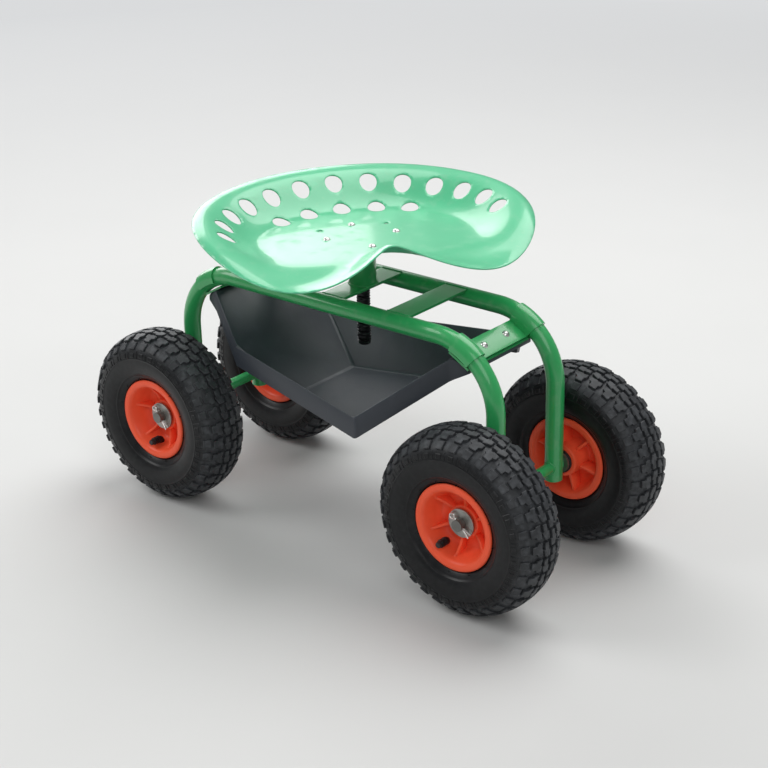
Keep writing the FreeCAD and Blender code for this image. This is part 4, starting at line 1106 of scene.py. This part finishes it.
def split_pin(end, side):
    middle = Vector((end * AXLE_X, side * (WHEEL_Y + COTTER_REACH), WHEEL_RADIUS))
    turn = Matrix.Rotation(COTTER_TURN[end], 3, "Y")
    other = [(-across, up) for across, up in COTTER_HALF[-2::-1]]
    route = [middle + turn @ Vector((across, 0, up)) for across, up in COTTER_HALF + other]
    curve = bpy.data.curves.new("pin", "CURVE")
    curve.dimensions = "3D"
    curve.bevel_depth = COTTER_WIRE * MILLIMETRE
    curve.bevel_resolution = 3
    curve.use_fill_caps = True
    spline = curve.splines.new("NURBS")
    spline.points.add(len(route) - 1)
    for point, place in zip(spline.points, route):
        point.co = (*(MILLIMETRE * place), 1)
    spline.order_u = 3
    spline.use_endpoint_u = True
    return worked_out(add_object("pin", curve))


pins = [split_pin(end, side) for end, side in product(BOTH, BOTH)]
add_piece("split_pins", joined("pins", pins), bright_zinc, "frame", "zinc_steel", "cotter_pins")

# %% [markdown]
# ## Finishes of the CAD pieces
# Tubes, clamps, bolts, washers and sleeves already have the right shape, so they stay and only get a finish.

# %% Finish the CAD nodes
FINISHES = {
    frame_green: ["left_rail", "right_rail", "post_tube", "front_clamp_strap", "rear_clamp_strap",
                  "front_clamp_plate", "rear_clamp_plate", "seat_plate"],
    bare_axle: ["front_axle", "rear_axle"],
    zinc: ["clamp_nuts", "seat_nuts", "wheel_spacers", "axle_washers"],
    bright_zinc: ["clamp_bolts", "seat_bolts", "seat_washers"],
    spindle_steel: ["spindle_nut"],
    black_plastic: ["post_bush"] + [f"{wheel}_bushes" for wheel in WHEEL_SPIN],
    tyre_black: [f"{wheel}_{kind}" for wheel in WHEEL_SPIN for kind in ("inner_tube", "valve_stem")],
}
for finish, names in FINISHES.items():
    for node_name in names:
        cad_nodes[node_name].data.materials.clear()
        cad_nodes[node_name].data.materials.append(finish)

# %% [markdown]
# ## Floor and light
# A pale floor and a wide soft lamp overhead give the even light of a cloudy day. A panel behind the seat
# stands for the bright sky that gloss paint mirrors towards the camera, and one on the left puts a sheen on
# the sidewalls. The world lights the rest, and a weak lamp fills the near side. The lamps leave the far
# floor dark, so the camera alone sees it fade into a plain pale backdrop.

# %% Floor, lamps and world
FLOOR_HALF = 12
FLOOR_PALE = opaque(0.66, 0.66, 0.65)
FLOOR_PATCH = opaque(0.63, 0.63, 0.62)
BACKDROP = opaque(0.7, 0.71, 0.72)
WORLD_LIGHT = 0.24
FADE_START = 1.2
FADE_END = 4.0


def camera_sees(wire):
    return wire.node("ShaderNodeLightPath", output="Is Camera Ray")


def add_floor():
    work = bmesh.new()
    bmesh.ops.create_grid(work, x_segments=1, y_segments=1, size=FLOOR_HALF)
    mesh = bpy.data.meshes.new("floor")
    work.to_mesh(mesh)
    work.free()
    material, shader, place = new_finish("pale_floor", Roughness=0.9)
    vary(shader, place, Base_Color=mix_colours(noise(place, 3), FLOOR_PALE, FLOOR_PATCH))
    away = place.node("ShaderNodeVectorMath", {"operation": "LENGTH"}, {0: place}, output="Value")
    fade = spots(away, FADE_START, FADE_END) * camera_sees(place)
    glow = place.node("ShaderNodeEmission", None, {"Color": BACKDROP})
    lit = Wire(material.node_tree, shader.outputs["BSDF"])
    faded = place.node("ShaderNodeMixShader", None, {0: fade, 1: lit, 2: glow})
    place.feed(material.node_tree.nodes["Material Output"].inputs["Surface"], faded)
    mesh.materials.append(material)
    floor = add_object("floor", mesh)


def add_lamp(name, place, aim, size, power):
    lamp = bpy.data.lights.new(name, "AREA")
    lamp.shape = "DISK"
    lamp.size = size
    lamp.energy = power
    holder = add_object(name, lamp)
    holder.location = place
    holder.rotation_euler = (Vector(aim) - Vector(place)).to_track_quat("-Z", "Y").to_euler()


def add_world():
    world = bpy.data.worlds.new("sky")
    world.use_nodes = True
    background = world.node_tree.nodes["Background"]
    background.inputs["Color"].default_value = BACKDROP
    seen = camera_sees(Wire(world.node_tree))
    dim = WORLD_LIGHT / BACKDROP[0]
    seen.feed(background.inputs["Strength"], dim + (1 - dim) * seen)
    bpy.context.scene.world = world


add_floor()
add_lamp("sky_panel", place=(-5.0, 2.6, 2.4), aim=(0, 0, 0.35), size=4.6, power=170)
add_lamp("top_panel", place=(0.2, 1.5, 3.2), aim=(0, 0, 0.3), size=3.4, power=95)
add_lamp("left_panel", place=(-2.4, -1.9, 2.7), aim=(0, 0, 0.25), size=2.2, power=50)
add_lamp("fill_panel", place=(2.4, -2.2, 2.6), aim=(0, 0, 0.2), size=2.8, power=36)
add_world()
bpy.context.scene.view_settings.view_transform = "Standard"
